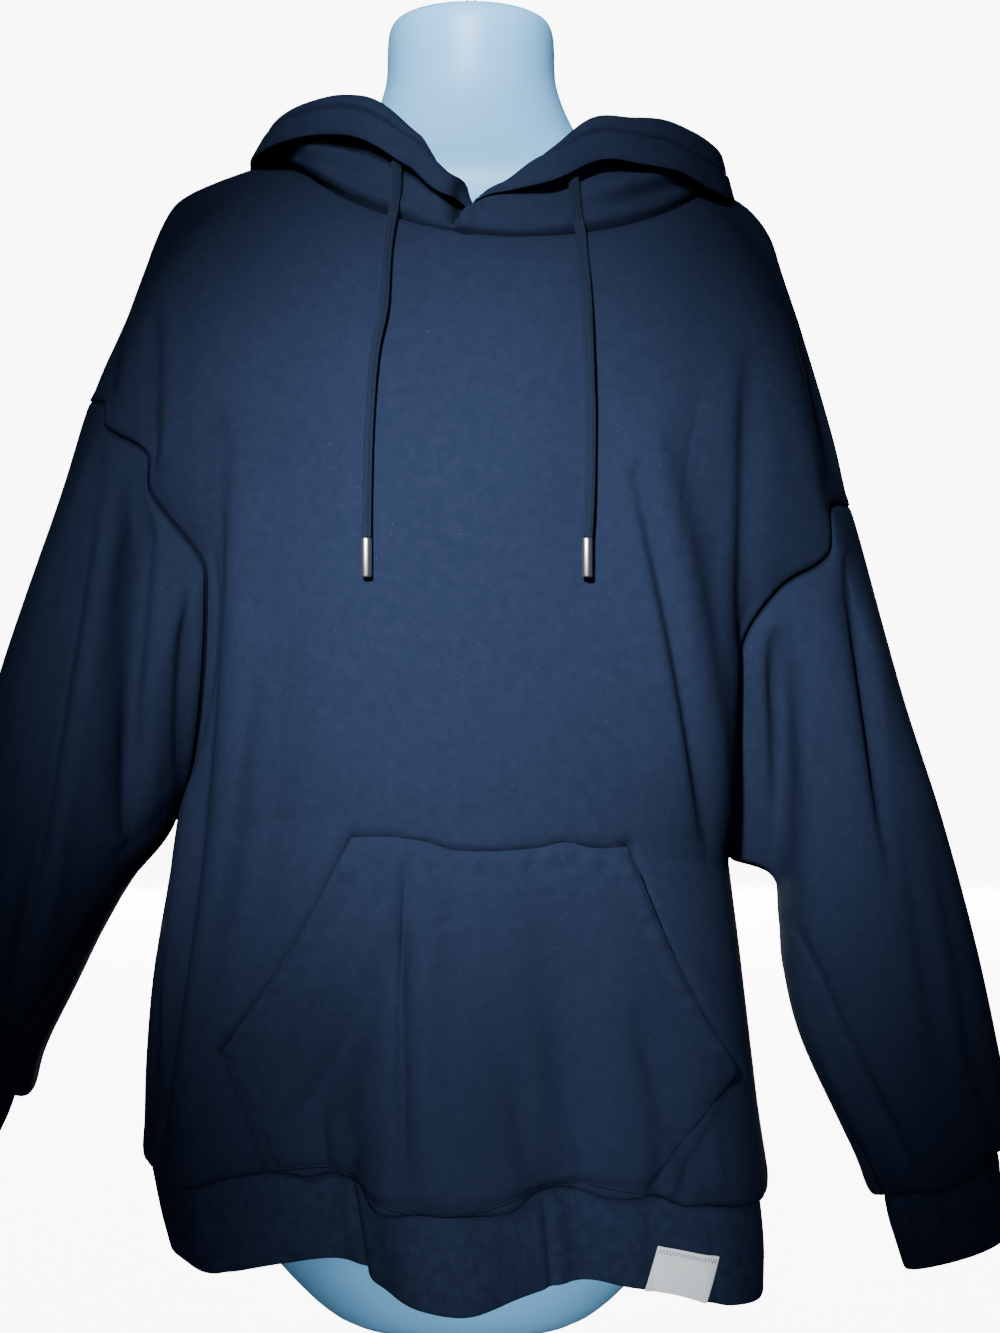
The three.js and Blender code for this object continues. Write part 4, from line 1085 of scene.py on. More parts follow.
# %% Sleeves
SLEEVE = {
    "left": rows(
        "along outerX outerZ innerX innerZ deep y",
        (0, -257, 613, -196, 330, 58, 2),
        (0.12, -273, 556, -206, 314, 66, 0),
        (0.3, -298, 480, -228, 288, 68, -4),
        (0.5, -323, 395, -246, 256, 62, -8),
        (0.7, -345, 310, -264, 218, 54, -12),
        (0.88, -367, 238, -286, 176, 44, -15),
        (0.95, -375, 208, -295, 159, 37, -16),
        (1, -371, 188, -301, 153, 24, -17),
    ),
    "right": rows(
        "along outerX outerZ innerX innerZ deep y",
        (0, 255, 543, 172, 304, 60, 2),
        (0.12, 268, 494, 200, 294, 64, -1),
        (0.3, 290, 408, 206, 264, 66, -6),
        (0.5, 314, 328, 208, 234, 62, -12),
        (0.7, 336, 242, 219, 188, 54, -18),
        (0.88, 351, 166, 246, 130, 45, -22),
        (0.95, 354, 138, 263, 100, 37, -23),
        (1, 347, 116, 272, 86, 23, -24),
    ),
}
ARMHOLE_BLEND = 0.42


def ring_point(table, along, turn):
    get = lambda name: read(table, "along", along, name)
    angle = turn * 2 * np.pi
    share = (1 - np.cos(angle)) / 2
    x = mix(get("innerX"), get("outerX"), share)
    return point(x, get("y") - get("deep") * np.sin(angle), mix(get("innerZ"), get("outerZ"), share))


def armhole_ring(hand, turn):
    half = np.minimum(turn, 1 - turn) * 2
    up = 1 - (1 - half) ** 1.35
    front_side = armhole_point(hand, -1, up)
    return np.where((turn <= 0.5)[..., None], front_side, armhole_point(hand, 1, up))


def sleeve_point(hand, along, turn):
    along, turn = np.broadcast_arrays(along, turn)
    pull = armhole_ring(hand, turn) - ring_point(SLEEVE[hand], 0 * along, turn)
    fade = (1 - smooth(along, 0, ARMHOLE_BLEND)) ** 1.5
    out = ring_point(SLEEVE[hand], along, turn) + pull * fade[..., None]
    away = smooth(along, 0, 0.08) * np.abs(np.sin(turn * 2 * np.pi))
    for side, half in ((-1, (turn > 0) & (turn < 0.5)), (1, (turn <= 0) | (turn >= 0.5))):
        out[..., 1] -= side * push_in(FOLDS, hand, side, out[..., 0], out[..., 2]) * away * half
    return out


def sleeve(hand, seed):
    turn = np.arange(132)[None, :] / 132
    if hand == "left":
        turn = (1 - turn) % 1
    along = 1 - spaced(0, 1, 170, 0.012)[:, None]
    grid = sleeve_point(hand, along, turn)
    normal = grid_normals(grid, True)
    low, high = edge_distance(grid, 0)
    seam = np.abs((turn + 0.5) % 1 - 0.5) * 260 + 0 * low
    x, z = grid[..., 0], grid[..., 2]
    free = smooth(np.minimum(low, high), 0, 22)
    relief = 0.8 * ripple(x * 1.4, z, seed) * free - groove(np.minimum(low, high)) - groove(seam, 0.9, 2.4)
    bag = (4.5 + 2.5 * np.sin(2 * np.pi * 3 * turn + seed)) * rise_and_fade(low, 8)
    relief = relief + bag + pucker(turn + 0 * low, low, seed, 9, 2.2, 24)
    side_of = np.where((turn > 0) & (turn < 0.5), -1, 1) + 0 * x
    for side in (-1, 1):
        relief = relief - push_in(CREASES, hand, side, x, z) * free * (side_of == side) * np.abs(
            np.sin(turn * 2 * np.pi)
        )
    outer = grid + normal * relief[..., None]
    down = grid[:1].mean(axis=1, keepdims=True) - grid[40:41].mean(axis=1, keepdims=True)
    down = down / np.linalg.norm(down)
    outer = outer + down * (0.8 * bag * np.exp(-low / 8))[..., None]
    inner = outer - grid_normals(outer, True) * (FLEECE - 0.2)
    allowance = point(-SIGN[hand] * 5.0, -np.sign(outer[-1:, :, 1]) * 2.6, 0)
    # Painted shade in the bottoms of the armhole and cuff seams and along the seam under the arm.
    painted_shade = np.maximum(groove(np.minimum(low, high), 0.6, 1.6), groove(seam, 0.35, 1.2))
    outer = np.concatenate([outer, outer[-1:] + allowance])
    inner = np.concatenate([inner, inner[-1:] + allowance])
    return outer, inner, np.concatenate([painted_shade, painted_shade[-1:]])


sleeves = {}
sleeve_grids = {}
for hand, seed in (("left", 21), ("right", 22)):
    outer, inner, painted_shade = sleeve(hand, seed)
    sleeve_grids[hand] = outer
    sleeves[hand] = shell(f"{hand}_sleeve_cloth", outer, inner, wraps=True, painted_shade=painted_shade)
    finish_piece(sleeves[hand], FLEECE_MATERIAL, "fleece", f"{hand}_sleeve")
    print(hand, "sleeve", round(grid_area(outer, True), 3), "square metres")

# %% [markdown]
# ## Rib band and cuffs
# The band and cuffs are folded tubes of fine rib knit, whose ridges run up and down. The ridges are
# real points in the mesh: a bump map would vanish at the outline, and the folded edge would look cut.

# %% Rib trims
BAND = rows(
    "up left right front back leftZ rightZ frontZ backZ",
    (0, -200, 195, -126, 120, 52, 20, 52, 40),
    (0.5, -207, 195, -131, 125, 80, 52, 83, 71),
    (1, -212, 192, -130, 124, 107, 83, 114, 102),
)
CUFF = {
    "left": rows(
        "along outerX outerZ innerX innerZ deep y",
        (0, -371, 188, -301, 153, 24, -17),
        (1, -394, 138, -323, 104, 22, -18),
    ),
    "right": rows(
        "along outerX outerZ innerX innerZ deep y",
        (0, 347, 116, 272, 86, 23, -24),
        (1, 356, 62, 287, 38, 22, -26),
    ),
}
RIB_HIGH = 0.09
BAND_RIBS = 280
CUFF_RIBS = 62
BAND_CREASES = rows(
    "side across up deep wide",
    (-1, 0.181, 0.8, 2.8, 0.012),
    (-1, 0.203, 0.8, -1.8, 0.018),
    (-1, -0.206, 1.0, 3.4, 0.012),
    (-1, -0.180, 1.0, -2.6, 0.020),
    (-1, 0.42, 0.9, 1.8, 0.020),
    (-1, 0.60, 0.9, 1.8, 0.020),
    (-1, -0.55, 0.9, 1.8, 0.024),
    (-1, -0.90, 0.9, 1.6, 0.030),
    (1, 0.10, 0.9, 2.4, 0.020),
    (1, 0.52, 0.9, 2.0, 0.024),
    (1, -0.45, 0.9, 2.4, 0.020),
)


def ribbed(grid, normal, around, count, low, high):
    """Raises fine ribs, and rounds the folded edge and the seam."""
    ridge = RIB_HIGH * np.cos(2 * np.pi * count * around)
    relief = ridge * smooth(low, 0, 3) - groove(high, 0.9, 2.4) - groove(low, 0.7, 1.2)
    return relief


def band_piece():
    per = 4
    around = np.arange(BAND_RIBS * per)[None, :] / (BAND_RIBS * per)
    up = spaced(0, 1, 15, 0.06)[:, None]
    half = around < 0.5
    across = np.where(half, -1 + 4 * around, 3 - 4 * around)
    across, up, half = np.broadcast_arrays(across, up, half)
    fronts = tube_point(BAND, -1, across, up, 1, 1)
    grid = np.where(half[..., None], fronts, tube_point(BAND, 1, across, up, 1, 1))
    normal = grid_normals(grid, True)
    low, high = edge_distance(grid, 0)
    relief = ribbed(grid, normal, around, BAND_RIBS, low, high)
    relief = relief + 0.7 * ripple(across * 210, up * 60, 31)
    for i in range(len(BAND_CREASES["side"])):
        here = (half == (BAND_CREASES["side"][i] < 0)) * BAND_CREASES["deep"][i]
        near = np.exp(-(((across - BAND_CREASES["across"][i]) / BAND_CREASES["wide"][i]) ** 2))
        relief = relief - here * near * smooth(1.05 - up, 0, 0.4) * BAND_CREASES["up"][i]
    outer = grid + normal * relief[..., None]
    return outer, outer - grid_normals(outer, True) * (FLEECE - 0.1)


def cuff_piece(hand, seed):
    per = 5
    turn = np.arange(CUFF_RIBS * per)[None, :] / (CUFF_RIBS * per)
    if hand == "left":
        turn = (1 - turn) % 1
    along = 1 - spaced(0, 1, 15, 0.06)[:, None]
    grid = ring_point(CUFF[hand], *np.broadcast_arrays(along, turn))
    normal = grid_normals(grid, True)
    low, high = edge_distance(grid, 0)
    relief = ribbed(grid, normal, turn, CUFF_RIBS, low, high)
    relief = relief + 1.5 * np.sin(2 * np.pi * 3 * turn + seed) * smooth(high, 0, 20)
    relief = relief + pucker(turn + 0 * low, high, seed, 8, 1.0, 12)
    outer = grid + normal * relief[..., None]
    return outer, outer - grid_normals(outer, True) * (FLEECE - 0.1)


band_outer, band_inner = band_piece()
band = shell("waistband_rib", band_outer, band_inner, wraps=True)
finish_piece(band, RIB_MATERIAL, "rib", "waistband")
cuffs = {}
cuff_grids = {}
for hand, seed in (("left", 1), ("right", 2)):
    outer, inner = cuff_piece(hand, seed)
    cuff_grids[hand] = outer
    cuffs[hand] = shell(f"{hand}_cuff_rib", outer, inner, wraps=True)
    finish_piece(cuffs[hand], RIB_MATERIAL, "rib", f"{hand}_cuff")
    print(hand, "cuff", round(grid_area(outer, True), 4), "square metres")
print("band", round(grid_area(band_outer, True), 4), "square metres")

# %% [markdown]
# ## The hood
# Worn down, a hood stands up from the neckline, rolls over and falls. In front its edge is a short
# flap that shows the inside and the drawcord's channel, and behind it is a deep bag that turns up
# again. One section curve with a few named lengths covers both, and a table says how those lengths
# change round the neck.

# %% Hood section
HOOD = {
    "left": rows(
        "around stand lean roll fall flare turn rise swing",
        (0, 24, -8, 3, 10, 10, 0, 0, 0),
        (13, 38, -9, 4, 14, 10, 0, 0, 0),
        (26, 51, -10, 5, 18, 11, 0, 0, 0),
        (39, 62, -9, 6, 21, 13, 0, 0, 0),
        (51, 58, -8, 6, 22, 16, 0, 0, 0),
        (64, 45, -2, 6, 22, 22, 0, 0, 4),
        (77, 29, 10, 7, 22, 29, 0, 0, 10),
        (90, 17, 24, 7, 20, 33, 1, 3, 18),
        (103, 16, 22, 8, 28, 30, 3, 8, 40),
        (116, 19, 15, 8, 56, 24, 7, 36, 46),
        (129, 21, 9, 9, 102, 18, 10, 84, 38),
        (142, 24, 5, 9, 138, 15, 12, 124, 28),
        (155, 24, 3, 9, 166, 13, 13, 154, 18),
        (168, 24, 2, 9, 183, 12, 14, 173, 8),
        (180, 24, 2, 9, 188, 12, 14, 179, 0),
    ),
    "right": rows(
        "around stand lean roll fall flare turn rise swing",
        (0, 30, -8, 3, 10, 10, 0, 0, 0),
        (13, 47, -9, 5, 15, 10, 0, 0, 0),
        (26, 64, -10, 6, 22, 12, 0, 0, 0),
        (39, 58, -12, 7, 25, 13, 0, 0, 0),
        (51, 50, -14, 8, 28, 14, 0, 0, 0),
        (64, 37, -15, 8, 32, 13, 0, 0, 2),
        (77, 23, -12, 8, 30, 12, 0, 0, 6),
        (90, 17, -6, 7, 26, 16, 1, 2, 18),
        (103, 17, 2, 8, 30, 22, 3, 9, 42),
        (116, 19, 6, 8, 58, 22, 7, 38, 48),
        (129, 23, 6, 9, 105, 18, 10, 87, 38),
        (142, 24, 4, 9, 139, 15, 12, 125, 28),
        (155, 24, 3, 9, 166, 13, 13, 154, 18),
        (168, 24, 2, 9, 183, 12, 14, 173, 8),
        (180, 24, 2, 9, 188, 12, 14, 179, 0),
    ),
}
FLAP_LAP = 7.0
LEFT_TAPER = 1.9
FLAP_CORNER = 5
SEAM_GAP = 0.3


def hood_section(size, t):
    """The walk out and up along the section, for every station (rows) and share t (columns)."""
    steps = 900
    lengths = np.stack([size["stand"], np.pi * size["roll"], size["fall"], np.pi * size["turn"], size["rise"]])
    lean, flare = np.radians(size["lean"]), np.radians(size["flare"])
    total = lengths.sum(0)
    place = (np.arange(steps)[None, :] + 0.5) / steps * total[:, None]
    starts = np.concatenate([0 * total[None], np.cumsum(lengths, 0)[:-1]])
    heading = np.broadcast_to(lean[:, None], place.shape).copy()
    rules = (
        (1, lean, np.pi - flare - lean),
        (2, np.pi - flare, 0 * flare),
        (3, np.pi - flare, flare - np.pi),
        (4, 0 * flare, 0 * flare),
    )
    for part, start, turn in rules:
        bend = (place - starts[part][:, None]) / np.maximum(lengths[part], 1e-6)[:, None]
        here = place > starts[part][:, None]
        heading = np.where(here, start[:, None] + turn[:, None] * np.clip(bend, 0, 1), heading)
    step = total[:, None] / steps
    out = np.insert(np.cumsum(np.sin(heading) * step, 1), 0, 0, 1)
    up = np.insert(np.cumsum(np.cos(heading) * step, 1), 0, 0, 1)
    at = np.linspace(0, 1, steps + 1)
    pick = lambda a: np.stack([np.interp(t, at, line) for line in a])
    return pick(out), pick(up), total


# %% Hood stations
FRONT_STEPS = FRONT_COLUMNS - 2 * SHOULDER_COLUMNS
BACK_STEPS = 26 - 2 * SHOULDER_COLUMNS
RIGHT_END = FRONT_STEPS // 2 + 1
BACK_END = RIGHT_END + BACK_STEPS
LEFT_END = BACK_END + FRONT_STEPS // 2


def hood_grid(count, t):
    place = spaced(0, LEFT_END, count, 0.2)
    front_right, behind = place <= RIGHT_END, (place > RIGHT_END) & (place < BACK_END)
    step = 180 / FRONT_STEPS
    degrees = np.where(front_right, (place - 1) * step, (place - LEFT_END) * step)
    degrees = np.where(behind, 90 - (place - RIGHT_END) / BACK_STEPS * 180, degrees)
    around = np.where(behind, 180 - np.abs(degrees), np.abs(degrees))
    left = (place > RIGHT_END) & (degrees < 0)
    from_end = np.where(behind, 99, np.where(front_right, place, LEFT_END - place))
    get = lambda name: np.where(
        left, read(HOOD["left"], "around", around, name), read(HOOD["right"], "around", around, name)
    )
    rolled = smooth(from_end, 0.3, 2)
    size = {name: get(name) for name in ("lean", "flare", "swing")}
    taper = np.where(front_right, np.minimum(from_end, 1), np.minimum(from_end / LEFT_TAPER, 1))
    size["stand"] = mix(FLAP_CORNER, get("stand"), taper)
    size["roll"], size["fall"] = get("roll") * rolled, get("fall") * rolled
    size["turn"], size["rise"] = np.maximum(get("turn"), 0), np.maximum(get("rise"), 0)
    front_base, back_base = neck_point(-1, degrees), neck_point(1, degrees)
    base = np.where(behind[:, None], back_base, front_base)
    swing = np.radians(size["swing"]) * np.where(left, -1, 1)
    away = np.stack([base[:, 0] - NECK["middle"], base[:, 1] * 1.3], 1)
    away /= np.linalg.norm(away, axis=1, keepdims=True)
    cos, sin = np.cos(swing), np.sin(swing)
    away = np.stack([away[:, 0] * cos - away[:, 1] * sin, away[:, 0] * sin + away[:, 1] * cos], 1)
    out, up, total = hood_section(size, t)
    lap = np.where(front_right, FLAP_LAP * (1 - smooth(place, 1, 3)), 0)
    out = out + lap[:, None]
    grid = point(
        base[:, :1] + away[:, :1] * out, base[:, 1:2] + away[:, 1:] * out, base[:, 2:] + up + SEAM_GAP / 2
    )
    return np.swapaxes(grid, 0, 1), place, total, t


# %% Hood mesh
HOOD_BULGES = rows(
    "hand far wide out start stop",
    (1, 25, 9, 9.0, (16, 36), (72, 96)),
    (1, 8, 6, 3.0, (5, 20), (70, 90)),
    (-1, 9, 6, 5.0, (14, 34), (76, 96)),
    (-1, 22, 12, 10.0, (46, 66), (96, 116)),
)
CHANNEL = 19.0
CHANNEL_THICK = 0.7

hood_base, hood_place, hood_total, hood_t = hood_grid(330, spaced(0, 1, 96, 0.004))
hood_far = hood_t[:, None] * hood_total[None, :]
hood_left = (1 - hood_t[:, None]) * hood_total[None, :]
hood_normal = grid_normals(hood_base, False)
ends = np.minimum(hood_place, LEFT_END - hood_place)[None, :] * 30
channel = CHANNEL_THICK * smooth(CHANNEL - hood_left, 0, 2) * smooth(hood_total[None, :] - 40, 0, 20)
stitched = groove(hood_left - CHANNEL, 1.5, 1.8) * smooth(hood_total[None, :] - 40, 0, 20)
middle_seam = groove((hood_place[None, :] - (RIGHT_END + BACK_END) / 2) * 20, 0.9, 2.2)
soft = 1.0 * ripple(hood_base[..., 0] * 1.3, hood_far * 1.5, 41) * smooth(hood_far, 3, 30)
edge_round = groove(hood_left, 0.7, 1.4)
hood_degrees = np.interp(hood_place, [0, RIGHT_END, BACK_END, LEFT_END], [-13, 90, 270, 360])[None, :]
right_around = hood_degrees
left_around = 360 - hood_degrees
bulge = 0 * hood_far
for i in range(len(HOOD_BULGES["far"])):
    at = right_around if HOOD_BULGES["hand"][i] > 0 else left_around
    near = smooth(at, *HOOD_BULGES["start"][i]) * (1 - smooth(at, *HOOD_BULGES["stop"][i]))
    height = np.exp(-(((hood_far - HOOD_BULGES["far"][i]) / HOOD_BULGES["wide"][i]) ** 2))
    bulge = bulge + HOOD_BULGES["out"][i] * near * height * smooth(hood_far, 0, 5)
lap_far = hood_place[None, :] * 20 + 0 * hood_far
lap_hem = 3.0 * (1 - smooth(lap_far, 5, 9)) - groove(lap_far, 3.6, 2.6)
lap_hem = lap_hem - groove((LEFT_END - hood_place[None, :] - 1.06) * 20, 6.0, 4.5) * smooth(hood_far, 2, 10)
outside = soft + bulge + channel - 0.3 * stitched - middle_seam - groove(hood_far, 1.6, 2.8) - edge_round + lap_hem
inside = -soft - bulge + channel - stitched - 0.5 * middle_seam - edge_round - lap_hem
hood_outer = hood_base + hood_normal * outside[..., None]
hood_inner = hood_base - hood_normal * (FLEECE - 0.2 + inside)[..., None]
tuck = point(0, 0, -7.0) + (point(NECK["middle"], 0, 0) - hood_base[:1] * (1, 1, 0)) * 0.02
hood_outer = np.concatenate([hood_outer[:1] + tuck, hood_outer])
hood_inner = np.concatenate([hood_inner[:1] + tuck, hood_inner])
# Painted shade: darker along the neckline seam, beside the right flap's edge where it laps over the left one, and
# along the channel's stitched line.
under_lap = (LEFT_END - hood_place[None, :] - 1.06) * 20
channel_painted_shade = groove(hood_left - CHANNEL, 0.45, 1.2) * smooth(hood_total[None, :] - 40, 0, 20)
hood_painted_shade = np.maximum(groove(hood_far, 0.7, 2.0), groove(under_lap, 0.85, 2.6) * smooth(hood_far, 2, 6))
hood_painted_shade = np.maximum(hood_painted_shade, channel_painted_shade)
hood_painted_shade = np.concatenate([hood_painted_shade[:1], hood_painted_shade])
hood = shell("hood_cloth", hood_outer, hood_inner, painted_shade=hood_painted_shade)
finish_piece(hood, FLEECE_MATERIAL, "fleece", "hood")
print("hood", round(grid_area(hood_base), 3), "square metres")

# %% [markdown]
# ## The pocket
# A kangaroo pocket is one patch sewn on the front along its top, its bottom and its short lower
# sides, and it stands a little open at the slanted hand openings. The patch is laid on the front
# panel by casting each of its points back onto that panel, so it follows every fold beneath.

# %% Pocket
POCKET_LIFT = 4.5
POCKET_HEM = 1.8
def tree_of(grid):
    index = np.arange(grid.shape[0] * grid.shape[1]).reshape(grid.shape[:2])
    return BVHTree.FromPolygons(grid.reshape(-1, 3).tolist(), quads(index, False).tolist())


def laid_on(tree, x, z, start=-400, ahead=1):
    """The place and outward direction on a surface behind each point of a front view."""
    places, directions = [], []
    for px, pz in zip(x.ravel(), z.ravel()):
        hit, normal, _, _ = tree.ray_cast(Vector((px, start, pz)), Vector((0, ahead, 0)))
        if hit is None:
            hit, normal, _, _ = tree.find_nearest(Vector((px, -120, pz)))
        if normal.y > 0:
            normal = -normal
        places.append(hit)
        directions.append(normal)
    shape = x.shape + (3,)
    return np.array(places).reshape(shape), np.array(directions).reshape(shape)


def blurred(values, times):
    """Evens out a grid of directions, so that a patch on it has no facets."""
    for _ in range(times):
        padded = np.pad(values, ((1, 1), (1, 1), (0, 0)), mode="edge")
        values = (padded[:-2, 1:-1] + padded[2:, 1:-1] + padded[1:-1, :-2] + padded[1:-1, 2:]) / 4
    return values / np.linalg.norm(values, axis=-1, keepdims=True)


def pocket_edge(foot, corner, top, bow, up, share):
    """One side of the pocket's outline: the sewn lower side, then the bowed hand opening."""
    low = np.clip(up / share, 0, 1)
    high = np.clip((up - share) / (1 - share), 0, 1)
    arc = 2 * high * (1 - high)
    x = np.where(up < share, mix(foot[0], corner[0], low), mix(corner[0], top[0], high) - bow * arc)
    z = np.where(up < share, mix(foot[1], corner[1], low), mix(corner[1], top[1], high) - POCKET["mouthBow"] * arc)
    return x, z


seam_x, seam_z = front_outer[1, :, 0], front_outer[1, :, 2]
up = spaced(0, 1, 110, 0.006)[:, None]
share = spaced(0, 1, 120, 0.006)[None, :]
foot_z = lambda x: float(np.interp(x, seam_x, seam_z)) + 1.0
left_foot = (POCKET_FOOT["left"][0], foot_z(POCKET_FOOT["left"][0]))
right_foot = (POCKET_FOOT["right"][0], foot_z(POCKET_FOOT["right"][0]))
bow = POCKET["mouthBow"]
left_x, left_z = pocket_edge(left_foot, POCKET["leftCorner"], POCKET["topLeft"], -bow, up, 0.34)
right_x, right_z = pocket_edge(right_foot, POCKET["rightCorner"], POCKET["topRight"], bow, up, 0.34)
pocket_x = mix(left_x, right_x, share)
pocket_z = mix(left_z, right_z, share) + read(POCKET_TOP, "at", share, "z") * smooth(up, 0.8, 1)
straight = mix(left_foot[1], right_foot[1], share)
follow = np.interp(pocket_x[:1], seam_x, seam_z) + 1.0 - straight
pocket_z = pocket_z + follow * (1 - up) ** 2
under_pocket = panel(-1, 11, 0.0, 0.0)[0]
base, direction = laid_on(tree_of(under_pocket[1:]), pocket_x, pocket_z)
direction = blurred(direction, 6)
far_low, far_high = edge_distance(base, 0)
far_left, far_right = edge_distance(base, 1)
mouth = smooth(up, 0.3, 0.42) * (1 - smooth(up, 0.93, 1.0))
open_by = POCKET_LIFT * mouth * np.exp(-np.minimum(far_left, far_right) / 26)
sewn = np.minimum(np.minimum(far_low, far_high), np.minimum(far_left, far_right))
low_side = (1 - smooth(up, 0.29, 0.37)) * np.exp(-((np.minimum(far_left, far_right) / 16) ** 2))
puff = 2.4 * smooth(sewn, 0, 26)
hem = POCKET_HEM * np.exp(-((sewn / 11) ** 4)) * smooth(far_low, 4, 14) * (1 - low_side)
rounded = groove(sewn, 2.2, 2.6)
along_edge = np.where(np.minimum(far_left, far_right) < far_high, pocket_z, pocket_x)
crimp = 0.45 * (np.sin(along_edge / 2.3) + np.sin(along_edge / 3.7)) * np.exp(-((sewn - 7) / 6) ** 2)
under = 0.45 + open_by + puff
pocket_inner = base + direction * under[..., None]
pocket_outer = base + direction * (under + FLEECE - 0.1 + hem + crimp - rounded - 0.8 * low_side)[..., None]
pocket = shell("pocket_cloth", pocket_outer, pocket_inner)
finish_piece(pocket, FLEECE_MATERIAL, "fleece", "pocket")
print("pocket", round(grid_area(pocket_outer), 4), "square metres")

# %% [markdown]
# ## The label
# A small woven label is folded over the hem and sewn down along its top with a narrow zigzag. The
# real one carries a maker's lettering, and this one is left bare.

# %% Label
LABEL = [(118.5, 70), (158, 60), (150, 14), (110, 24)]
LABEL_MATERIAL, label_shader = new_material("label", LABEL_WHITE, 0.75)
bump(LABEL_MATERIAL.node_tree, label_shader, noise(LABEL_MATERIAL.node_tree, 2600, 1), 0.25, 0.0003)

band_count = band_outer.shape[1]
band_front = band_outer[:, : band_count // 2]
corner = np.array(LABEL, float)
down = np.linspace(0, 1, 60)[:, None]
sideways = np.linspace(0, 1, 40)[None, :]
label_x = mix(mix(corner[0, 0], corner[1, 0], sideways), mix(corner[3, 0], corner[2, 0], sideways), down)
label_z = mix(mix(corner[0, 1], corner[1, 1], sideways), mix(corner[3, 1], corner[2, 1], sideways), down)
hem_z = np.interp(label_x, band_front[0, :, 0], band_front[0, :, 2]) - 0.4
start_z = label_z[:1]
label_z = mix(start_z, hem_z, down)
base, direction = laid_on(tree_of(band_front), label_x, np.maximum(label_z, hem_z + 1.2))
direction = blurred(direction, 8)
base = base + point(0 * label_x, 0 * label_x, np.minimum(label_z - hem_z - 1.2, 0))
label_outer = (base + direction * 1.15)[::-1]
label_inner = (base + direction * 0.4)[::-1]
label = shell("hem_label_weave", label_outer, label_inner, round_rim=0.3)
finish_piece(label, LABEL_MATERIAL, "label", "hem_label")

# %% [markdown]
# ## Stitches
# The hood's channel is sewn with a line of short stitches, and the label with a zigzag. Thousands of
# small copies along a path are what a node tree does best: it spaces points along a curve, puts one
# stitch on each, and makes them real at the end.

# %% Stitch tree
THREAD_MATERIAL = cloth_material("thread", THREAD_NAVY, THREAD_NAVY, 0.1, 0.9)
LABEL_THREAD, _ = new_material("label_thread", (0.08, 0.11, 0.18), 0.8)


def stitch_tree():
    """Even spacing along a curve, one short rounded stitch on each point."""
    tree = bpy.data.node_groups.new("stitches", "GeometryNodeTree")
    face = tree.interface
    face.new_socket("Curve", in_out="INPUT", socket_type="NodeSocketGeometry")
    for name, value in (("Spacing", 0.003), ("Length", 0.0022), ("Radius", 0.0003)):
        face.new_socket(name, in_out="INPUT", socket_type="NodeSocketFloat").default_value = value
    face.new_socket("Material", in_out="INPUT", socket_type="NodeSocketMaterial")
    face.new_socket("Mesh", in_out="OUTPUT", socket_type="NodeSocketGeometry")
    add = lambda kind: tree.nodes.new(kind)
    link = tree.links.new
    source, result = add("NodeGroupInput"), add("NodeGroupOutput")
    sample = add("GeometryNodeResampleCurve")
    sample.mode = "LENGTH"
    link(source.outputs["Curve"], sample.inputs["Curve"])
    link(source.outputs["Spacing"], sample.inputs["Length"])
    points = add("GeometryNodeCurveToPoints")
    points.mode = "EVALUATED"
    link(sample.outputs["Curve"], points.inputs["Curve"])
    stitch = add("GeometryNodeMeshCylinder")
    stitch.inputs["Vertices"].default_value = 6
    link(source.outputs["Radius"], stitch.inputs["Radius"])
    link(source.outputs["Length"], stitch.inputs["Depth"])
    copies = add("GeometryNodeInstanceOnPoints")
    link(points.outputs["Points"], copies.inputs["Points"])
    link(stitch.outputs["Mesh"], copies.inputs["Instance"])
    link(points.outputs["Rotation"], copies.inputs["Rotation"])
    real = add("GeometryNodeRealizeInstances")
    link(copies.outputs["Instances"], real.inputs["Geometry"])
    paint = add("GeometryNodeSetMaterial")
    link(real.outputs["Geometry"], paint.inputs["Geometry"])
    link(source.outputs["Material"], paint.inputs["Material"])
    link(paint.outputs["Geometry"], result.inputs["Mesh"])
    return tree


STITCHES = stitch_tree()


def curve_of(name, lines):
    data = bpy.data.curves.new(name, "CURVE")
    data.dimensions = "3D"
    for line in lines:
        spline = data.splines.new("POLY")
        spline.points.add(len(line) - 1)
        for p, q in zip(spline.points, np.asarray(line) * MM):
            p.co = (*q, 1)
    obj = bpy.data.objects.new(name, data)
    bpy.context.scene.collection.objects.link(obj)
    return obj


def stitched_line(name, lines, spacing, length, radius, material):
    """Runs the stitch tree along some lines and keeps the plain mesh that it makes."""
    curve = curve_of(name + "_path", lines)
    modifier = curve.modifiers.new("stitches", "NODES")
    modifier.node_group = STITCHES
    values = {"Spacing": spacing * MM, "Length": length * MM, "Radius": radius * MM, "Material": material}
    for item in STITCHES.interface.items_tree:
        if item.in_out == "INPUT" and item.name in values:
            modifier[item.identifier] = values[item.name]
    ready = curve.evaluated_get(bpy.context.evaluated_depsgraph_get())
    mesh = bpy.data.meshes.new_from_object(ready)
    obj = bpy.data.objects.new(name, mesh)
    bpy.context.scene.collection.objects.link(obj)
    bpy.data.objects.remove(curve)
    obj.data.materials.clear()
    obj.data.materials.append(material)
    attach(obj, "root")
    print(name, len(obj.data.polygons), "faces")
    return obj


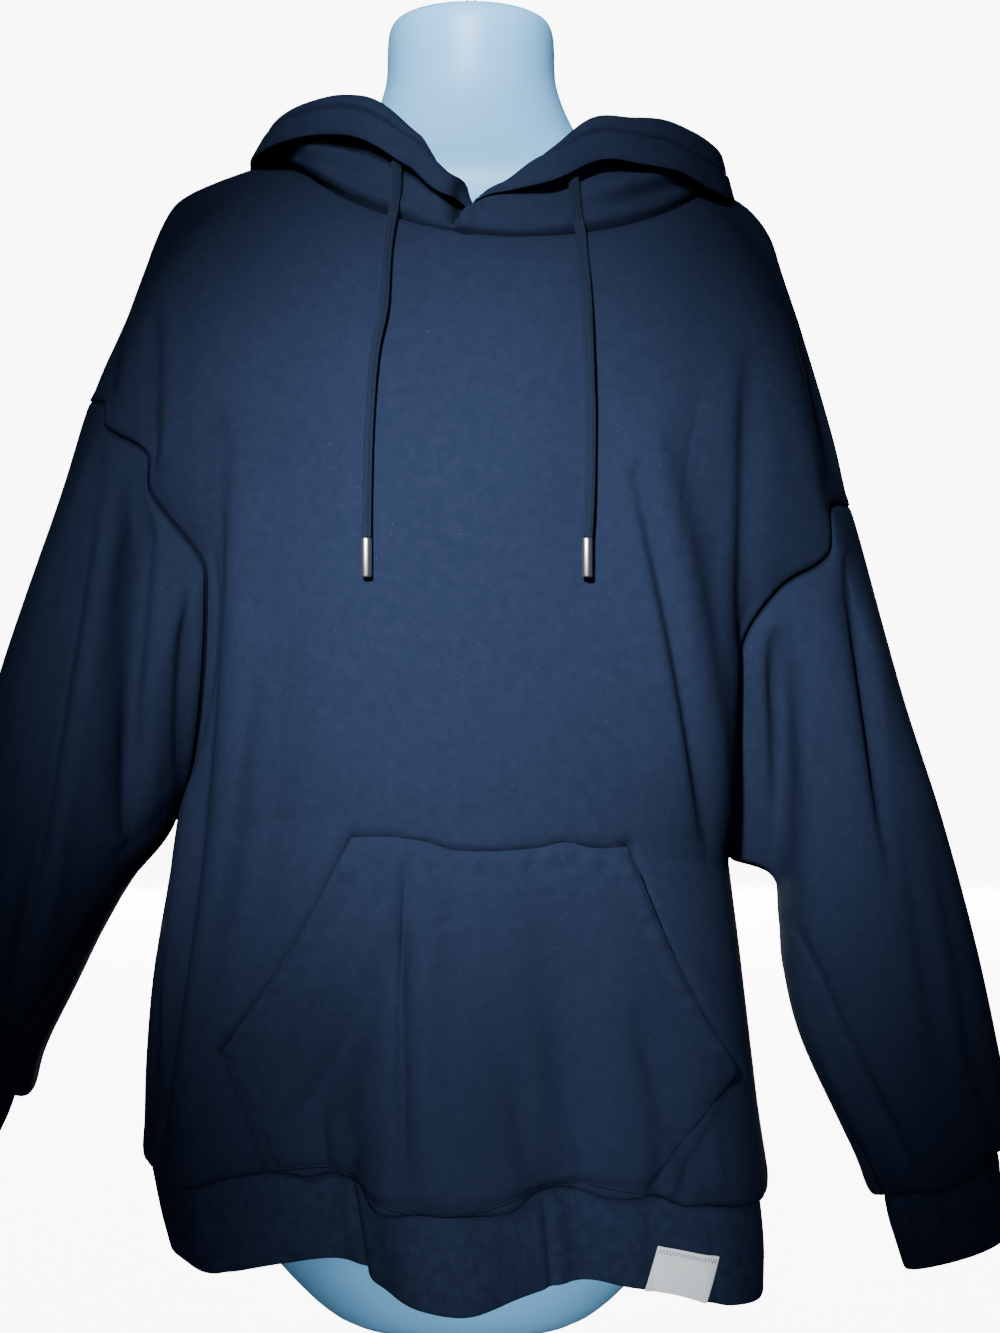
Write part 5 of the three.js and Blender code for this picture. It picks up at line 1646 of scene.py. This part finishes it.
# %% Channel and label stitches
at = np.array([np.interp(total - CHANNEL, far, np.arange(len(far))) for total, far in zip(hood_total, hood_far.T)])
long_enough = hood_total > 46
lower = np.floor(at).astype(int).clip(0, len(hood_t) - 2)
part = (at - lower)[:, None]
columns = np.arange(len(hood_place))
line_in = mix(hood_inner[lower + 1, columns], hood_inner[lower + 2, columns], part)
line_in = line_in - hood_normal[lower, columns] * 0.15
channel_thread = stitched_line(
    "channel_stitches", [line_in[long_enough]], 3.4, 2.5, 0.28, THREAD_MATERIAL
)
top = label_outer[::-1][3:9]
zig = [mix(top[0, i], top[-1, i], i % 2) for i in range(1, 39)]
zig = np.array(zig) + (0, -0.2, 0)
label_thread = stitched_line("label_stitches", [zig], 0.7, 0.75, 0.16, LABEL_THREAD)

# %% [markdown]
# ## How the cloth was cut
# Each sheet is listed with the size and area of its flat cut, how it is held and what it rests on,
# and the size of its cut is printed. A scene that drapes the hoodie again can start from these.

# %% Sheets
CUTS = (
    (front, 0.62, 0.70, 0.346, "hung", [form]),
    (back, 0.62, 0.71, 0.346, "hung", [form]),
    (sleeves["left"], 0.62, 0.46, 0.153, "hung", [front, back]),
    (sleeves["right"], 0.60, 0.45, 0.148, "hung", [front, back]),
    (band, 1.13, 0.064, 0.068, "gathered", [front, back]),
    (cuffs["left"], 0.203, 0.055, 0.0110, "gathered", [sleeves["left"]]),
    (cuffs["right"], 0.203, 0.055, 0.0103, "gathered", [sleeves["right"]]),
    (hood, 0.72, 0.46, 0.160, "folded", [front, back]),
    (pocket, 0.36, 0.25, 0.0634, "laid", [front]),
    (label, 0.043, 0.031, 0.00128, "laid", [band]),
)
for obj, cut_wide, cut_long, cut_area, held, on in CUTS:
    print(obj.name, "is cut", cut_wide, "by", cut_long, "m")

# %% [markdown]
# ## Floor, backdrop and light
# The photograph has a plain white ground and a broad soft light from the front. A pale floor that
# curves up into a wall all round the form, with no corner, gives the same ground. It glows, and it is
# hidden from the rays that light the cloth. A spot lights the chest and narrower spots the neck and
# the hem, a broad lamp lifts the shadows, and another lamp lights the back.

# %% Stage
STAGE_BACK = 4.6
STAGE_SIDES = 96
STAGE_HIGH = 4.4
STAGE_ROUND = 1.0
STAGE_GLOW = 9.0

profile = [(0.0, 0.0), (STAGE_BACK - STAGE_ROUND, 0.0)]
for k in range(1, 25):
    turn = k / 24 * math.pi / 2
    profile.append((STAGE_BACK - STAGE_ROUND + STAGE_ROUND * math.sin(turn), STAGE_ROUND * (1 - math.cos(turn))))
profile.append((STAGE_BACK, STAGE_HIGH))
turns = np.arange(STAGE_SIDES) / STAGE_SIDES * 2 * math.pi
bowl = np.array([[(far * math.cos(t), far * math.sin(t), z) for t in turns] for far, z in profile]) / MM
index = np.arange(STAGE_SIDES * len(profile)).reshape(-1, STAGE_SIDES)
backdrop = mesh_object("backdrop", bowl.reshape(-1, 3), quads(index, True), closed=False)
STAGE_MATERIAL, stage_shader = new_material("backdrop", (0.92, 0.92, 0.92), 0.95)
stage_shader.inputs["Specular IOR Level"].default_value = 0.0
stage_shader.inputs["Emission Color"].default_value = (1, 1, 1, 1)
stage_shader.inputs["Emission Strength"].default_value = STAGE_GLOW
backdrop.data.materials.append(STAGE_MATERIAL)
backdrop.visible_diffuse = False
backdrop.visible_glossy = False


def aimed(name, data, at, aim):
    obj = bpy.data.objects.new(name, data)
    obj.location = at
    obj.rotation_euler = (Vector(aim) - Vector(at)).to_track_quat("-Z", "Y").to_euler()
    bpy.context.scene.collection.objects.link(obj)
    return obj


key = bpy.data.lights.new("key", "SPOT")
key.energy = 1050
key.spot_size = math.radians(14.4)
key.spot_blend = 1.0
key.shadow_soft_size = 0.12
aimed("key", key, (-0.62, -2.5, 1.45), (0.012, -0.12, 0.478))
fill = bpy.data.lights.new("fill", "AREA")
fill.shape = "RECTANGLE"
fill.size, fill.size_y = 1.4, 1.4
fill.energy = 5
aimed("fill", fill, (0.1, -2.9, 0.6), (0, 0, 0.3))
neck_light = bpy.data.lights.new("neck_light", "SPOT")
neck_light.energy = 700
neck_light.spot_size = math.radians(8.5)
neck_light.spot_blend = 1.0
neck_light.shadow_soft_size = 0.1
aimed("neck_light", neck_light, (-0.2, -2.2, 1.7), (0.0, 0, 0.875))
hem_light = bpy.data.lights.new("hem_light", "SPOT")
hem_light.energy = 260
hem_light.spot_size = math.radians(10)
hem_light.spot_blend = 1.0
hem_light.shadow_soft_size = 0.1
aimed("hem_light", hem_light, (0.1, -2.6, 0.5), (0.04, -0.15, 0.07))
back_light = bpy.data.lights.new("back_light", "AREA")
back_light.shape = "RECTANGLE"
back_light.size, back_light.size_y = 2.8, 0.9
back_light.energy = 170
aimed("back_light", back_light, (0, 2.9, 0.62), (0, 0, 0.42))
world = bpy.data.worlds.new("studio")
world.use_nodes = True
world.node_tree.nodes["Background"].inputs["Color"].default_value = (0.93, 0.96, 1.0, 1)
world.node_tree.nodes["Background"].inputs["Strength"].default_value = 0.07
bpy.context.scene.world = world
print("stage and lamps made")
